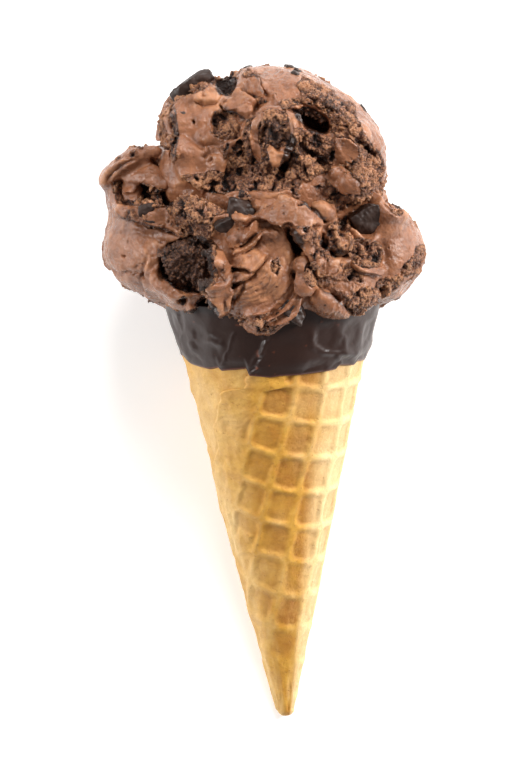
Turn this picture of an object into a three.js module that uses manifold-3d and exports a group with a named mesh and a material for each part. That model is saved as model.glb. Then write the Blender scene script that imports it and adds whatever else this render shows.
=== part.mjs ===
// A rolled waffle cone with a chocolate-dipped rim and two scoops of chocolate ice cream, full of
// brownie pieces and chocolate chunks. Millimetres. It is modelled upright, with the cone's tip at
// the origin, +Z along the cone and its front facing -Y, and then laid down on its back.
import * as THREE from "three";
import Module from "manifold-3d";
import { mergeVertices } from "three/addons/utils/BufferGeometryUtils.js";

const wasm = await Module();
wasm.setup();

// --- Driving dimensions -----------------------------------------------------------------------
const coneHeight = 141; // rounded tip to rim
const mouthRadius = 34.2;
const tipRadius = 3;
const sheetStep = 0.9; // free edge of the rolled sheet above the layer below it
const gridPitch = 12; // one rib to the next
const ribWidth = 3.4;
const pocketDepth = 1.1;
const gridTurn = THREE.MathUtils.degToRad(16.5); // ribs against the sheet's front line
const dipEdge = 118; // height of the chocolate's lower edge
const dipWave = 1.4;
const dipThickness = 1.1;
const clearance = 0.3; // between neighbouring pieces
const restSink = 4; // how far the lower scoop is pressed flat where it lies
const tipSink = 0.15; // how far the tip is worn flat where it lies

// --- Cone geometry worked out from the dimensions -----------------------------------------------
// The straight side is a tangent of the tip's sphere, so its half angle solves
// tan(a) = mouthRadius / (coneHeight - tipRadius + tipRadius / sin(a)).
let halfAngle = Math.atan(mouthRadius / coneHeight);
for (let pass = 0; pass < 20; pass += 1) {
  const apexToRim = coneHeight - tipRadius + tipRadius / Math.sin(halfAngle);
  halfAngle = Math.atan(mouthRadius / apexToRim);
}
const apexDepth = tipRadius / Math.sin(halfAngle) - tipRadius;
const straightFrom = tipRadius - tipRadius * Math.sin(halfAngle);

const wallRadius = (height) => (height + apexDepth) * Math.tan(halfAngle);

// --- Finishes -----------------------------------------------------------------------------------
const finish = (color, roughness) =>
  new THREE.MeshStandardMaterial({ color, roughness, metalness: 0 });
const waferFinish = finish(0xdca662, 0.75);
const dipFinish = finish(0x35241e, 0.3);
const iceCreamFinish = finish(0x8a6654, 0.6);
const brownieFinish = finish(0x40291f, 0.9);
const chunkFinish = finish(0x3a2620, 0.5);

// --- Solids ---------------------------------------------------------------------------------------
// The geometry with its shared corners merged, and nothing but positions.
function welded(geometry) {
  const bare = geometry.clone();
  bare.deleteAttribute("normal");
  bare.deleteAttribute("uv");
  return mergeVertices(bare, 1e-4);
}

function toSolid(geometry) {
  const merged = welded(geometry);
  return new wasm.Manifold(
    new wasm.Mesh({
      numProp: 3,
      vertProperties: new Float32Array(merged.attributes.position.array),
      triVerts: new Uint32Array(merged.index.array),
    }),
  );
}

function toMesh(name, solid, material) {
  const { vertProperties, triVerts } = solid.getMesh();
  const geometry = new THREE.BufferGeometry();
  geometry.setAttribute("position", new THREE.BufferAttribute(vertProperties, 3));
  geometry.setIndex(new THREE.BufferAttribute(triVerts, 1));
  geometry.computeVertexNormals();
  const mesh = new THREE.Mesh(geometry, material);
  mesh.name = name;
  return mesh;
}

function unite(solids) {
  return solids.reduce((whole, solid) => whole.add(solid));
}

function movePoints(geometry, move) {
  const position = geometry.attributes.position;
  const point = new THREE.Vector3();
  for (let i = 0; i < position.count; i += 1) {
    point.fromBufferAttribute(position, i);
    move(point);
    position.setXYZ(i, point.x, point.y, point.z);
  }
  return geometry;
}

// Smooth unevenness between -1 and 1, with bumps about one wavelength apart.
function unevenness(point, wavelength, seed) {
  const k = (2 * Math.PI) / wavelength;
  const a = Math.sin(k * (point.x + 0.6 * point.y) + 1.7 * seed);
  const b = Math.sin(k * (0.8 * point.y - 0.5 * point.z) + 2.9 * seed);
  const c = Math.sin(k * (0.9 * point.z + 0.4 * point.x) + 4.3 * seed);
  return (a + b + c + a * b * c) / 4;
}

// --- Waffle cone ------------------------------------------------------------------------------
const aroundSteps = 24;
const wrapTurn = THREE.MathUtils.degToRad(-25); // where the sheet's last wrap is thickest

// The last wrap's thickness above the layer below it, by the angle round the cone from its front.
function wrapLift(angle) {
  return (sheetStep / 2) * (1 + Math.cos(angle - wrapTurn));
}

function onWall(angle, height, lift = 0) {
  const radius = wallRadius(height) + lift;
  return new THREE.Vector3(radius * Math.sin(angle), -radius * Math.cos(angle), height);
}

// The sheet's free edge runs down the cone's left front, and on round the back where the wrap is
// thin: the wrap is the part of the wall on the lower right front of the plane through it.
const freeEdge = [
  onWall(THREE.MathUtils.degToRad(8), coneHeight),
  onWall(THREE.MathUtils.degToRad(-57), 99),
  onWall(THREE.MathUtils.degToRad(95), 122),
];
const edgePlane = new THREE.Plane().setFromCoplanarPoints(...freeEdge);

// The wall between two heights as a closed body, turned about the cone's axis.
function wallBody(from, to, grow) {
  const lift = grow / Math.cos(halfAngle);
  const geometry = new THREE.LatheGeometry(
    [
      new THREE.Vector2(0, from),
      new THREE.Vector2(wallRadius(from) + lift, from),
      new THREE.Vector2(wallRadius(to) + lift, to),
      new THREE.Vector2(0, to),
    ],
    aroundSteps,
  );
  geometry.rotateX(Math.PI / 2);
  return toSolid(geometry);
}

// The wall with its last wrap all the way round, which stands off the axis.
function wrappedWall(from, to, grow) {
  const side = new THREE.Vector3(Math.sin(wrapTurn), -Math.cos(wrapTurn), 0);
  const shift = side.multiplyScalar(sheetStep / 2);
  return wallBody(from, to, grow + sheetStep / 2).translate(shift.x, shift.y, 0);
}

function tipBody() {
  const geometry = new THREE.SphereGeometry(tipRadius, aroundSteps, 8);
  geometry.rotateX(Math.PI / 2);
  geometry.translate(0, 0, tipRadius);
  return toSolid(geometry);
}

// A block that fills one side of a plane, its face on the plane.
function halfSpace(plane) {
  const span = 600; // far larger than the cone
  const geometry = new THREE.BoxGeometry(span, span, span);
  geometry.translate(0, 0, span / 2);
  const turn = new THREE.Quaternion().setFromUnitVectors(new THREE.Vector3(0, 0, 1), plane.normal);
  geometry.applyQuaternion(turn);
  const foot = plane.coplanarPoint(new THREE.Vector3());
  geometry.translate(foot.x, foot.y, foot.z);
  return toSolid(geometry);
}

// A point of the unrolled sheet, from the grid's own axes to the cone: its height, its angle
// round the cone and how far the grid is turned there.
function rollUp(p, q) {
  const x = p * Math.cos(gridTurn) + q * Math.sin(gridTurn);
  const y = -p * Math.sin(gridTurn) + q * Math.cos(gridTurn);
  const slant = Math.hypot(x, y);
  const fan = Math.atan2(x, y);
  return {
    height: slant * Math.cos(halfAngle) - apexDepth,
    angle: fan / Math.sin(halfAngle),
    turn: gridTurn - fan,
  };
}

// A square pit with slanted walls, its open side out of the wall.
function pocket({ height, angle, turn }, depth, lift) {
  const reach = 2; // how far the cutter stands out of the surface
  const mouth = (gridPitch - ribWidth) / Math.SQRT2;
  const slope = 0.8; // how much narrower the floor is than the mouth, for each mm of depth
  const wide = mouth + slope * reach * 0.3;
  const geometry = new THREE.CylinderGeometry(wide, mouth - slope * depth, depth + reach, 4);
  geometry.rotateY(Math.PI / 4);
  geometry.translate(0, (reach - depth) / 2, 0);
  geometry.rotateX(Math.PI / 2);
  const out = new THREE.Vector3(
    Math.sin(angle) * Math.cos(halfAngle),
    -Math.cos(angle) * Math.cos(halfAngle),
    -Math.sin(halfAngle),
  );
  const up = new THREE.Vector3(
    Math.sin(angle) * Math.sin(halfAngle),
    -Math.cos(angle) * Math.sin(halfAngle),
    Math.cos(halfAngle),
  );
  up.applyAxisAngle(out, -turn);
  const side = new THREE.Vector3().crossVectors(up, out);
  const place = new THREE.Matrix4().makeBasis(side, up, out);
  place.setPosition(onWall(angle, height, lift));
  geometry.applyMatrix4(place);
  return toSolid(geometry);
}

// The grid's pockets between two heights, each with its distance in front of the free edge.
function pocketsBetween(low, high) {
  const found = [];
  const first = { p: -11.3, q: 130 }; // one pocket's centre in the unrolled sheet
  const reach = 16; // pockets each way, more than the cone holds
  for (let i = -reach; i <= reach; i += 1) {
    for (let j = -reach; j <= reach; j += 1) {
      const spot = rollUp(first.p + i * gridPitch, first.q + j * gridPitch);
      const ahead = edgePlane.distanceToPoint(onWall(spot.angle, spot.height));
      const onSheet = Math.abs(spot.angle) <= Math.PI;
      if (onSheet && spot.height > low && spot.height < high) {
        found.push({ ...spot, ahead });
      }
    }
  }
  return found;
}

function waffleCone() {
  const firstPockets = 24; // the pattern is pressed flat nearer to the tip
  const edgeRoom = 3.5; // no pocket is cut this close to the free edge
  const wrap = wrappedWall(firstPockets, coneHeight, 0).intersect(halfSpace(edgePlane));
  let body = wallBody(straightFrom, coneHeight, 0).add(tipBody()).add(wrap);
  for (const spot of pocketsBetween(firstPockets, dipEdge - gridPitch / 2)) {
    const lift = spot.ahead > 0 ? wrapLift(spot.angle) : 0;
    const fade = THREE.MathUtils.smoothstep(spot.height, 0, 70);
    if (Math.abs(spot.ahead) > edgeRoom || Math.abs(lift) < 0.3) {
      body = body.subtract(pocket(spot, pocketDepth * fade, lift));
    }
  }
  return body;
}

// --- Chocolate dip --------------------------------------------------------------------------------
// Around the rim, from a wavy lower edge up to just under the rim.
function chocolateDip() {
  const top = coneHeight - clearance;
  const outer = clearance + dipThickness;
  let coat = wrappedWall(dipEdge - 2 * dipWave, top, outer);
  coat = coat.subtract(wrappedWall(dipEdge - 3 * dipWave, coneHeight, clearance));
  const shallow = 0.5; // the waffle's pockets, half filled by the chocolate
  for (const spot of pocketsBetween(dipEdge + gridPitch * 0.4, coneHeight - gridPitch * 0.6)) {
    coat = coat.subtract(pocket(spot, shallow, wrapLift(spot.angle) + outer));
  }
  return coat.subtract(belowDip());
}

// What the dip's lower edge waves along: a disc whose top rises and falls round the cone.
function belowDip() {
  const radius = 60; // well outside the dip
  const depth = 20; // well below it
  const inset = 4; // the waves start this far inside the wall
  const profile = [
    new THREE.Vector2(0, dipEdge - depth),
    new THREE.Vector2(radius, dipEdge - depth),
    new THREE.Vector2(radius, dipEdge),
    new THREE.Vector2(wallRadius(dipEdge) - inset, dipEdge),
    new THREE.Vector2(0, dipEdge),
  ];
  const geometry = new THREE.LatheGeometry(profile, aroundSteps);
  geometry.rotateX(Math.PI / 2);
  movePoints(geometry, (point) => {
    const out = Math.hypot(point.x, point.y);
    if (out > 1 && point.z > dipEdge - 1) {
      const angle = Math.atan2(point.x, -point.y);
      const wave = 0.6 * Math.sin(2 * angle + 1.2) + 0.4 * Math.sin(5 * angle + 0.4);
      point.z += dipWave * wave;
    }
  });
  return toSolid(geometry);
}

// The dipped rim as the ice cream wraps it.
function dippedRim() {
  return wrappedWall(
    dipEdge - 5 * dipWave,
    coneHeight + clearance,
    clearance + dipThickness + clearance,
  );
}

// --- Lobes and folds of ice cream ---------------------------------------------------------------
// An uneven egg: where its middle is, its three radii, its detail and its unevenness in mm.
function lobe({ at, radii, detail = 2, bump = 0.8, seed = 1 }, grow) {
  const geometry = welded(new THREE.IcosahedronGeometry(1, detail));
  movePoints(geometry, (point) => {
    const outward = point.clone();
    point.set(point.x * radii[0], point.y * radii[1], point.z * radii[2]);
    const lift = bump * unevenness(point, 26, seed) + grow;
    point.addScaledVector(outward, lift);
    point.add(new THREE.Vector3(...at));
  });
  return toSolid(geometry);
}

// A fold pushed up by the scoop: a fat strip along a curve, thinner toward its ends.
function fold({ path, width, thick, sides = 4, steps = 6 }, grow) {
  const curve = new THREE.CatmullRomCurve3(path.map((point) => new THREE.Vector3(...point)));
  const section = new THREE.Shape();
  section.absellipse(0, 0, thick + grow, width + grow, 0, 2 * Math.PI);
  const geometry = new THREE.ExtrudeGeometry(section, {
    steps,
    curveSegments: sides,
    bevelEnabled: false,
    extrudePath: curve,
  });
  return toSolid(geometry);
}

const lowerLobes = [
  { at: [-2, 1, 157], radii: [45, 43, 26.5], detail: 4, bump: 1.4, seed: 3 }, // middle
  { at: [-32, -4, 160], radii: [21.8, 27, 22.4], detail: 3, seed: 5 }, // left cheek
  { at: [-36, -5, 176], radii: [17, 19, 15], detail: 3, seed: 8 }, // left shoulder
  { at: [31.5, -4, 153.5], radii: [18, 24, 18], detail: 3, seed: 2 }, // right cheek
  { at: [32, -14, 164], radii: [11.2, 13, 8.6], seed: 4 }, // right shoulder
  { at: [-3, -26, 152.5], radii: [20, 17.5, 18.5], detail: 3, seed: 6 }, // middle swirl
  { at: [-22, -21, 149], radii: [17, 18, 12.5], seed: 7 }, // lower left fold
  { at: [19, -22, 147.5], radii: [17, 17, 11.5], seed: 9 }, // lower right fold
  { at: [-3, -33.6, 137.5], radii: [8.5, 4.2, 5.5], bump: 0.2, seed: 2 }, // drip
  { at: [14, 22, 161], radii: [27, 20, 20.5], seed: 1 }, // right back
  { at: [-22, 20, 153], radii: [24, 21, 17], seed: 2 }, // left back
];

const lowerFolds = [
  {
    path: [[-35, -19, 192], [-43, -16.5, 189], [-50, -11, 183], [-51.5, -5, 176]],
    width: 3.8,
    thick: 3.6,
  }, // the rolled rim of the left shoulder
  {
    path: [[-36, -24, 176], [-20, -34, 171], [-5, -39.3, 168.5], [10, -38.3, 171], [21, -33, 169]],
    width: 4.4,
    thick: 3.4,
  }, // the long fold where the two scoops meet
  {
    path: [[-50, -9, 170], [-43, -22, 170], [-34, -28, 166.5], [-26, -32, 163.5]],
    width: 3.6,
    thick: 3,
  }, // the ledge across the left cheek
];

const upperLobes = [
  { at: [1.8, 0, 181], radii: [35.6, 34.6, 34.3], detail: 4, bump: 1.4, seed: 2 }, // ball
  { at: [-18.5, -8, 199.4], radii: [14.8, 16.5, 14.6], detail: 3, seed: 4 }, // upper left
  { at: [1, -6, 204.4], radii: [18.5, 18.5, 11.6], detail: 3, seed: 7 }, // top
  { at: [23.4, -5, 184.5], radii: [14.2, 20, 19], detail: 3, seed: 5 }, // right flank
  { at: [24, -19, 190], radii: [9, 9, 11.5], seed: 3 }, // right lip
  { at: [-22.5, -13, 183], radii: [12.6, 15, 15.5], seed: 1 }, // lower left
  { at: [4.2, -25, 198.5], radii: [9.6, 8.2, 10], seed: 9 }, // raised frame of a brownie piece
  { at: [23, -19.5, 179.5], radii: [11, 11, 8], seed: 6 }, // lower right
  { at: [-12, 17, 189], radii: [21.5, 19.5, 19.5], seed: 8 }, // back left
  { at: [14.5, 18.5, 179.5], radii: [19.5, 18, 19], seed: 3 }, // back right
];

const upperFolds = [
  {
    path: [[-29, -12, 197], [-22, -20.5, 196.5], [-12, -26.5, 198], [-6, -26.5, 203]],
    width: 3.6,
    thick: 2.8,
  }, // the lip under the upper left lobe
  {
    path: [[11, -28.5, 194], [19, -27.5, 187], [27, -22.5, 181], [32.5, -15, 179]],
    width: 3.6,
    thick: 2.8,
  }, // the diagonal ridge on the right
];

function scoop(lobes, folds, grow) {
  return unite([
    ...lobes.map((each) => lobe(each, grow)),
    ...folds.map((each) => fold(each, grow)),
  ]);
}

// --- Pieces set in the ice cream ----------------------------------------------------------------
function placed(geometry, { at, turn }) {
  const angles = turn.map((degrees) => THREE.MathUtils.degToRad(degrees));
  const matrix = new THREE.Matrix4().makeRotationFromEuler(new THREE.Euler(...angles));
  matrix.setPosition(...at);
  geometry.applyMatrix4(matrix);
  return toSolid(geometry);
}

// A crumbly block with worn edges.
function brownie(piece) {
  const { size, seed } = piece;
  const cuts = 2;
  const ballRadius = 0.62; // of the ball that the block wears toward, with the block 1 wide
  const worn = 0.5; // how far it has worn toward the ball
  const rough = 0.08; // of its size
  const geometry = welded(new THREE.BoxGeometry(1, 1, 1, cuts, cuts, cuts));
  movePoints(geometry, (point) => {
    const ball = point.clone().normalize().multiplyScalar(ballRadius);
    point.lerp(ball, worn);
    point.set(point.x * size[0], point.y * size[1], point.z * size[2]);
    point.multiplyScalar(1 + rough * unevenness(point, 7, seed));
  });
  return placed(geometry, piece);
}

// A chopped piece of chocolate: a few large flat faces.
function chunk(piece) {
  const { size, seed } = piece;
  const cornerRadius = 0.65; // with the piece 1 wide
  const flat = 0.47; // the cut faces' distance from the middle
  const rough = 0.06; // of its size
  const geometry = welded(new THREE.IcosahedronGeometry(cornerRadius, 1));
  movePoints(geometry, (point) => {
    point.set(
      THREE.MathUtils.clamp(point.x, -flat, flat * 1.15),
      THREE.MathUtils.clamp(point.y, -flat * 0.9, flat),
      THREE.MathUtils.clamp(point.z, -flat * 1.05, flat * 0.95),
    );
    point.set(point.x * size[0], point.y * size[1], point.z * size[2]);
    point.multiplyScalar(1 + rough * unevenness(point, 5, seed));
  });
  return placed(geometry, piece);
}

// The hollow that a piece sits in: a plain block a little larger than the piece.
function socketOf(piece) {
  const room = 1.14;
  const [wide, deep, high] = piece.size.map((length) => length * room + 2 * clearance);
  return placed(new THREE.BoxGeometry(wide, deep, high), piece);
}

const pieces = [
  // Brownie pieces.
  { name: "brownie_in_hollow", make: brownie, at: [-26, -31.5, 157.5], size: [14.5, 10, 14.5],
    turn: [10, -20, 15], seed: 1 },
  { name: "brownie_in_frame", make: brownie, at: [3.2, -30, 199.4], size: [8.5, 7.5, 9],
    turn: [20, 10, 8], seed: 2 },
  { name: "brownie_near_top", make: brownie, at: [15.6, -18.6, 206.4], size: [9, 7, 6.5],
    turn: [15, 30, 0], seed: 3 },
  { name: "brownie_at_right_side", make: brownie, at: [37, 18, 162], size: [11, 10, 9],
    turn: [0, 25, 40], seed: 4 },
  // Chocolate chunks.
  { name: "chunk_on_top", make: chunk, at: [-21, -9, 210.6], size: [14, 8, 6],
    turn: [0, -30, 0], seed: 1 },
  { name: "chunk_at_fold", make: chunk, at: [-9.2, -36.6, 174.6], size: [8, 6, 10.5],
    turn: [-12, 12, 0], seed: 2 },
  { name: "chunk_under_fold", make: chunk, at: [-15, -39, 165.6], size: [7.8, 5.6, 5],
    turn: [0, 15, 20], seed: 3 },
  { name: "chunk_at_right", make: chunk, at: [32.4, -24.2, 167.4], size: [8.6, 6, 12],
    turn: [-10, 12, 0], seed: 4 },
  { name: "chunk_at_rim", make: chunk, at: [8.8, -40.3, 139.8], size: [7, 4.6, 5.2],
    turn: [0, 20, 0], seed: 5 },
  { name: "chunk_at_back", make: chunk, at: [-15, 35.4, 191], size: [10, 6, 8],
    turn: [10, 30, 0], seed: 7 },
];

// --- Laying it down ------------------------------------------------------------------------------
// The floor touches the tip's sphere and cuts a little off the lower scoop's back. Its line
// leans by the angle at which both reach it.
const scoopBack = 44.2; // from the cone's axis to the lower scoop's back, at right angles to it
const scoopBackHeight = 155;
const leanSine = (scoopBack - restSink - tipRadius) / (scoopBackHeight - tipRadius);
const lean = Math.asin(leanSine);

function underFloor() {
  const span = 600; // well past the cone both ways
  const depth = 60; // more than the scoops reach below it
  const geometry = new THREE.BoxGeometry(span, depth, span);
  geometry.translate(0, depth / 2, 0);
  geometry.applyMatrix4(new THREE.Matrix4().makeRotationX(-lean));
  const offset = tipRadius - tipSink;
  geometry.translate(0, offset * Math.cos(lean), tipRadius - offset * Math.sin(lean));
  return toSolid(geometry);
}

// --- Assembly -----------------------------------------------------------------------------------
const floor = underFloor();
const sockets = unite(pieces.map(socketOf));
const lower = scoop(lowerLobes, lowerFolds, 0)
  .subtract(dippedRim())
  .subtract(sockets)
  .subtract(floor);
const upper = scoop(upperLobes, upperFolds, 0)
  .subtract(scoop(lowerLobes, lowerFolds, clearance))
  .subtract(sockets)
  .subtract(floor);

const group = new THREE.Group();
group.add(toMesh("waffle_cone", waffleCone().subtract(floor), waferFinish));
group.add(toMesh("chocolate_dip", chocolateDip(), dipFinish));
group.add(toMesh("scoop_lower", lower, iceCreamFinish));
group.add(toMesh("scoop_upper", upper, iceCreamFinish));
for (const piece of pieces) {
  const material = piece.make === brownie ? brownieFinish : chunkFinish;
  group.add(toMesh(piece.name, piece.make(piece), material));
}

// Front up, tip toward -Y, and then the origin under the middle of its outline.
group.rotation.x = lean - Math.PI / 2;
group.updateMatrixWorld(true);
const box = new THREE.Box3().setFromObject(group, true);
const middle = box.getCenter(new THREE.Vector3());
group.position.set(-middle.x, -middle.y, -box.min.z);
group.updateMatrixWorld(true);

export default group;
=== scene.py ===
"""Chocolate brownie ice cream in a waffle cone with a chocolate dip, lying on its back.

Every piece is worked out on the standing cone, in millimetres, with the tip at the origin, X to
the right, Y to the back and Z up along the cone. It is then laid down into the frame of the CAD
model, in metres.
"""

import logging
import math
from dataclasses import dataclass, field
from enum import Enum
from typing import Iterator

import bmesh
import bpy
import numpy as np
from mathutils import Matrix, Vector
from mathutils.bvhtree import BVHTree


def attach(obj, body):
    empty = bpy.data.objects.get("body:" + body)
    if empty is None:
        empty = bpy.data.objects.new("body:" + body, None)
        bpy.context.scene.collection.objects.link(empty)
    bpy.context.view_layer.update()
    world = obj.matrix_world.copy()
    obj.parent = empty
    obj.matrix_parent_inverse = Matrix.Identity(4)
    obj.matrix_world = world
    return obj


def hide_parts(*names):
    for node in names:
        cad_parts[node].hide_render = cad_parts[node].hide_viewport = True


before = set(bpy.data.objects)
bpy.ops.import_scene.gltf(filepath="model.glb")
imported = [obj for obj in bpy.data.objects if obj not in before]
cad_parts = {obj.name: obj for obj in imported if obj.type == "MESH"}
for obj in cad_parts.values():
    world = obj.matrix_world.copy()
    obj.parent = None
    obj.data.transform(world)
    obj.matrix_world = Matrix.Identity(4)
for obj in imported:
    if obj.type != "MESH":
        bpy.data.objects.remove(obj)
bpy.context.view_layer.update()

MM = 0.001
LOG = logging.getLogger("ice_cream_cone")

Path = tuple[float, ...]  # across, down, across, down and so on
Triple = tuple[float, float, float]
Tone = tuple[int, int, int]  # red, green and blue from 0 to 255, as screens count them


# --- Numbers that vary over space -------------------------------------------------------------


def smooth(low: float, high: float, value: np.ndarray) -> np.ndarray:
    """Rise from 0 at low to 1 at high without a corner.

    Args:
        low: Where the rise starts.
        high: Where it ends.
        value: The numbers to look up.

    Returns:
        The share, from 0 to 1, of each number.
    """
    share = np.clip((value - low) / (high - low), 0.0, 1.0)
    return share * share * (3.0 - 2.0 * share)


def chance(cells: np.ndarray, seed: int) -> np.ndarray:
    """Give each cell of a lattice its own fixed random number.

    Args:
        cells: Whole numbers, three for each cell.
        seed: Another seed gives other numbers.

    Returns:
        A number from 0 to 1 for each cell.
    """
    mixed = cells[:, 0] * 73856093 ^ cells[:, 1] * 19349663 ^ cells[:, 2] * 83492791
    mixed = (mixed ^ (seed * 2654435761)) & 0xFFFFFFFF
    for _ in range(2):
        mixed = ((mixed >> 16) ^ mixed) * 0x45D9F3B & 0xFFFFFFFF
    return ((mixed >> 16) ^ mixed) / 4294967296.0


def swell(points: np.ndarray, size: float, seed: int, octaves: int = 1) -> np.ndarray:
    """Smooth random heights over space.

    Args:
        points: Places in mm.
        size: Distance between one swell and the next, in mm.
        seed: Another seed gives another surface.
        octaves: How many times a half as large swell is laid over it.

    Returns:
        Heights from about -1 to 1.
    """
    total = np.zeros(len(points))
    for octave in range(octaves):
        place = points * (2.0**octave / size) + 17.3 * octave
        cell = np.floor(place).astype(np.int64)
        part = place - cell
        part = part * part * (3.0 - 2.0 * part)
        height = np.zeros(len(points))
        for corner in range(8):
            step = np.array([corner & 1, corner >> 1 & 1, corner >> 2 & 1])
            weight = np.prod(np.where(step, part, 1.0 - part), axis=1)
            height += weight * chance(cell + step, seed + octave)
        total += (2.0 * height - 1.0) * 0.55**octave
    return total


def crests(points: np.ndarray, size: float, seed: int, octaves: int = 1) -> np.ndarray:
    """Random heights with sharp crests and round valleys.

    Args:
        points: Places in mm.
        size: Distance between one crest and the next, in mm.
        seed: Another seed gives another surface.
        octaves: How many times finer crests are laid over them.

    Returns:
        Heights from about -1 to 1.
    """
    total = np.zeros(len(points))
    for octave in range(octaves):
        wave = swell(points, size / 2.0**octave, seed + 13 * octave)
        total += (1.0 - 3.0 * np.abs(wave)) * 0.6**octave
    return total


def grains(points: np.ndarray, size: float, seed: int) -> tuple[np.ndarray, np.ndarray, np.ndarray]:
    """Distances to the nearest two middles of randomly packed grains.

    Args:
        points: Places in mm.
        size: The grains' size in mm.
        seed: Another seed gives another packing.

    Returns:
        The distances to the nearest and to the second nearest middle, in grain sizes, and a
        random number from 0 to 1 of the nearest grain's own.
    """
    place = points / size
    cell = np.floor(place).astype(np.int64)
    first = np.full(len(points), 9.0)
    second = np.full(len(points), 9.0)
    own = np.zeros(len(points))
    for index in range(27):
        step = np.array([index % 3 - 1, index // 3 % 3 - 1, index // 9 - 1])
        there = cell + step
        middle = [there[:, axis] + chance(there, seed + 7 * axis) for axis in range(3)]
        gap = np.sqrt(sum((middle[axis] - place[:, axis]) ** 2 for axis in range(3)))
        second = np.minimum(second, np.maximum(first, gap))
        own = np.where(gap < first, chance(there, seed + 77), own)
        first = np.minimum(first, gap)
    return first, second, own


def relaxed(values: np.ndarray, edges: np.ndarray, times: int) -> np.ndarray:
    """Even out numbers over a mesh.

    Args:
        values: One row for each vertex.
        edges: The two vertices of each edge.
        times: How often each row moves halfway to the mean of its neighbours.

    Returns:
        The evened rows.
    """
    count = len(values)
    degree = np.maximum(np.bincount(edges.ravel(), minlength=count), 1)
    for _ in range(times):
        nearby = np.empty_like(values)
        for column in range(values.shape[1]):
            row = values[:, column]
            nearby[:, column] = np.bincount(edges[:, 0], row[edges[:, 1]], count)
            nearby[:, column] += np.bincount(edges[:, 1], row[edges[:, 0]], count)
        values = 0.5 * (values + nearby / degree[:, None])
    return values


def rounded(path: np.ndarray, closed: bool = False, step: float = 1.0) -> np.ndarray:
    """Lay a smooth line through points.

    Args:
        path: The points, two or three numbers each.
        closed: Whether the line returns to its start.
        step: The distance between the points of the new line, in mm.

    Returns:
        The points of the smooth line.
    """
    ends = (path[-1:], path[:2]) if closed else (2 * path[:1] - path[1:2], 2 * path[-1:] - path[-2:-1])
    knots = np.concatenate((ends[0], path, ends[1]))
    line = []
    for index in range(1, len(knots) - 2):
        a, b, c, d = knots[index - 1 : index + 3]
        count = max(1, int(np.linalg.norm(c - b) / step))
        for t in np.arange(count) / count:
            bend = 2 * b + (c - a) * t + (2 * a - 5 * b + 4 * c - d) * t**2
            line.append(0.5 * (bend + (3 * b - a - 3 * c + d) * t**3))
    if not closed:
        line.append(knots[-2])
    return np.array(line)


def beside(flat: np.ndarray, line: np.ndarray) -> tuple[np.ndarray, np.ndarray]:
    """Measure how far points lie from a line, and where along it.

    Args:
        flat: Points on a drawing, in mm.
        line: The line's points, in mm.

    Returns:
        The distance, above 0 to the left of the way the line goes, and the share of the line's
        length at the nearest place.
    """
    best = np.full(len(flat), 1e9)
    side = np.zeros(len(flat))
    share = np.zeros(len(flat))
    lengths = np.linalg.norm(np.diff(line, axis=0), axis=1)
    reached = np.concatenate(((0.0,), np.cumsum(lengths)))
    for index, (start, end) in enumerate(zip(line[:-1], line[1:])):
        way = end - start
        t = np.clip(((flat - start) @ way) / max(way @ way, 1e-9), 0.0, 1.0)
        off = flat - start - t[:, None] * way
        gap = np.hypot(off[:, 0], off[:, 1])
        closer = gap < best
        best[closer] = gap[closer]
        turn = way[0] * off[:, 1] - way[1] * off[:, 0]
        side[closer] = np.where(turn[closer] < 0, -1.0, 1.0)
        share[closer] = (reached[index] + t[closer] * lengths[index]) / reached[-1]
    return best * side, share


def within(flat: np.ndarray, outline: np.ndarray) -> np.ndarray:
    """Measure how deep points lie inside a closed outline.

    Args:
        flat: Points on a drawing, in mm.
        outline: The outline's corners, in mm.

    Returns:
        The distance to the outline in mm, above 0 inside it.
    """
    best = np.full(len(flat), 1e9)
    inside = np.zeros(len(flat), bool)
    for start, end in zip(outline, np.roll(outline, -1, axis=0)):
        way = end - start
        t = np.clip(((flat - start) @ way) / max(way @ way, 1e-9), 0.0, 1.0)
        off = flat - start - t[:, None] * way
        best = np.minimum(best, np.hypot(off[:, 0], off[:, 1]))
        if way[1]:
            crossing = (start[1] > flat[:, 1]) != (end[1] > flat[:, 1])
            at = start[0] + (flat[:, 1] - start[1]) * way[0] / way[1]
            inside ^= crossing & (flat[:, 0] < at)
    return np.where(inside, best, -best)


# --- Where things are -------------------------------------------------------------------------


@dataclass(frozen=True)
class Resting:
    """How the standing cone is turned on its back and set on the floor."""

    lean_deg: float = 14.166
    tip: Triple = (2.809, -104.682, 2.116)

    def to_floor(self, points: np.ndarray) -> np.ndarray:
        """Lay standing points down.

        Args:
            points: Places on the standing cone, in mm.

        Returns:
            Places in the CAD frame, in metres.
        """
        turn = math.radians(self.lean_deg - 90.0)
        y = points[:, 1] * math.cos(turn) - points[:, 2] * math.sin(turn)
        z = points[:, 1] * math.sin(turn) + points[:, 2] * math.cos(turn)
        return (np.column_stack((points[:, 0], y, z)) + self.tip) * MM


RESTING = Resting()


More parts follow.
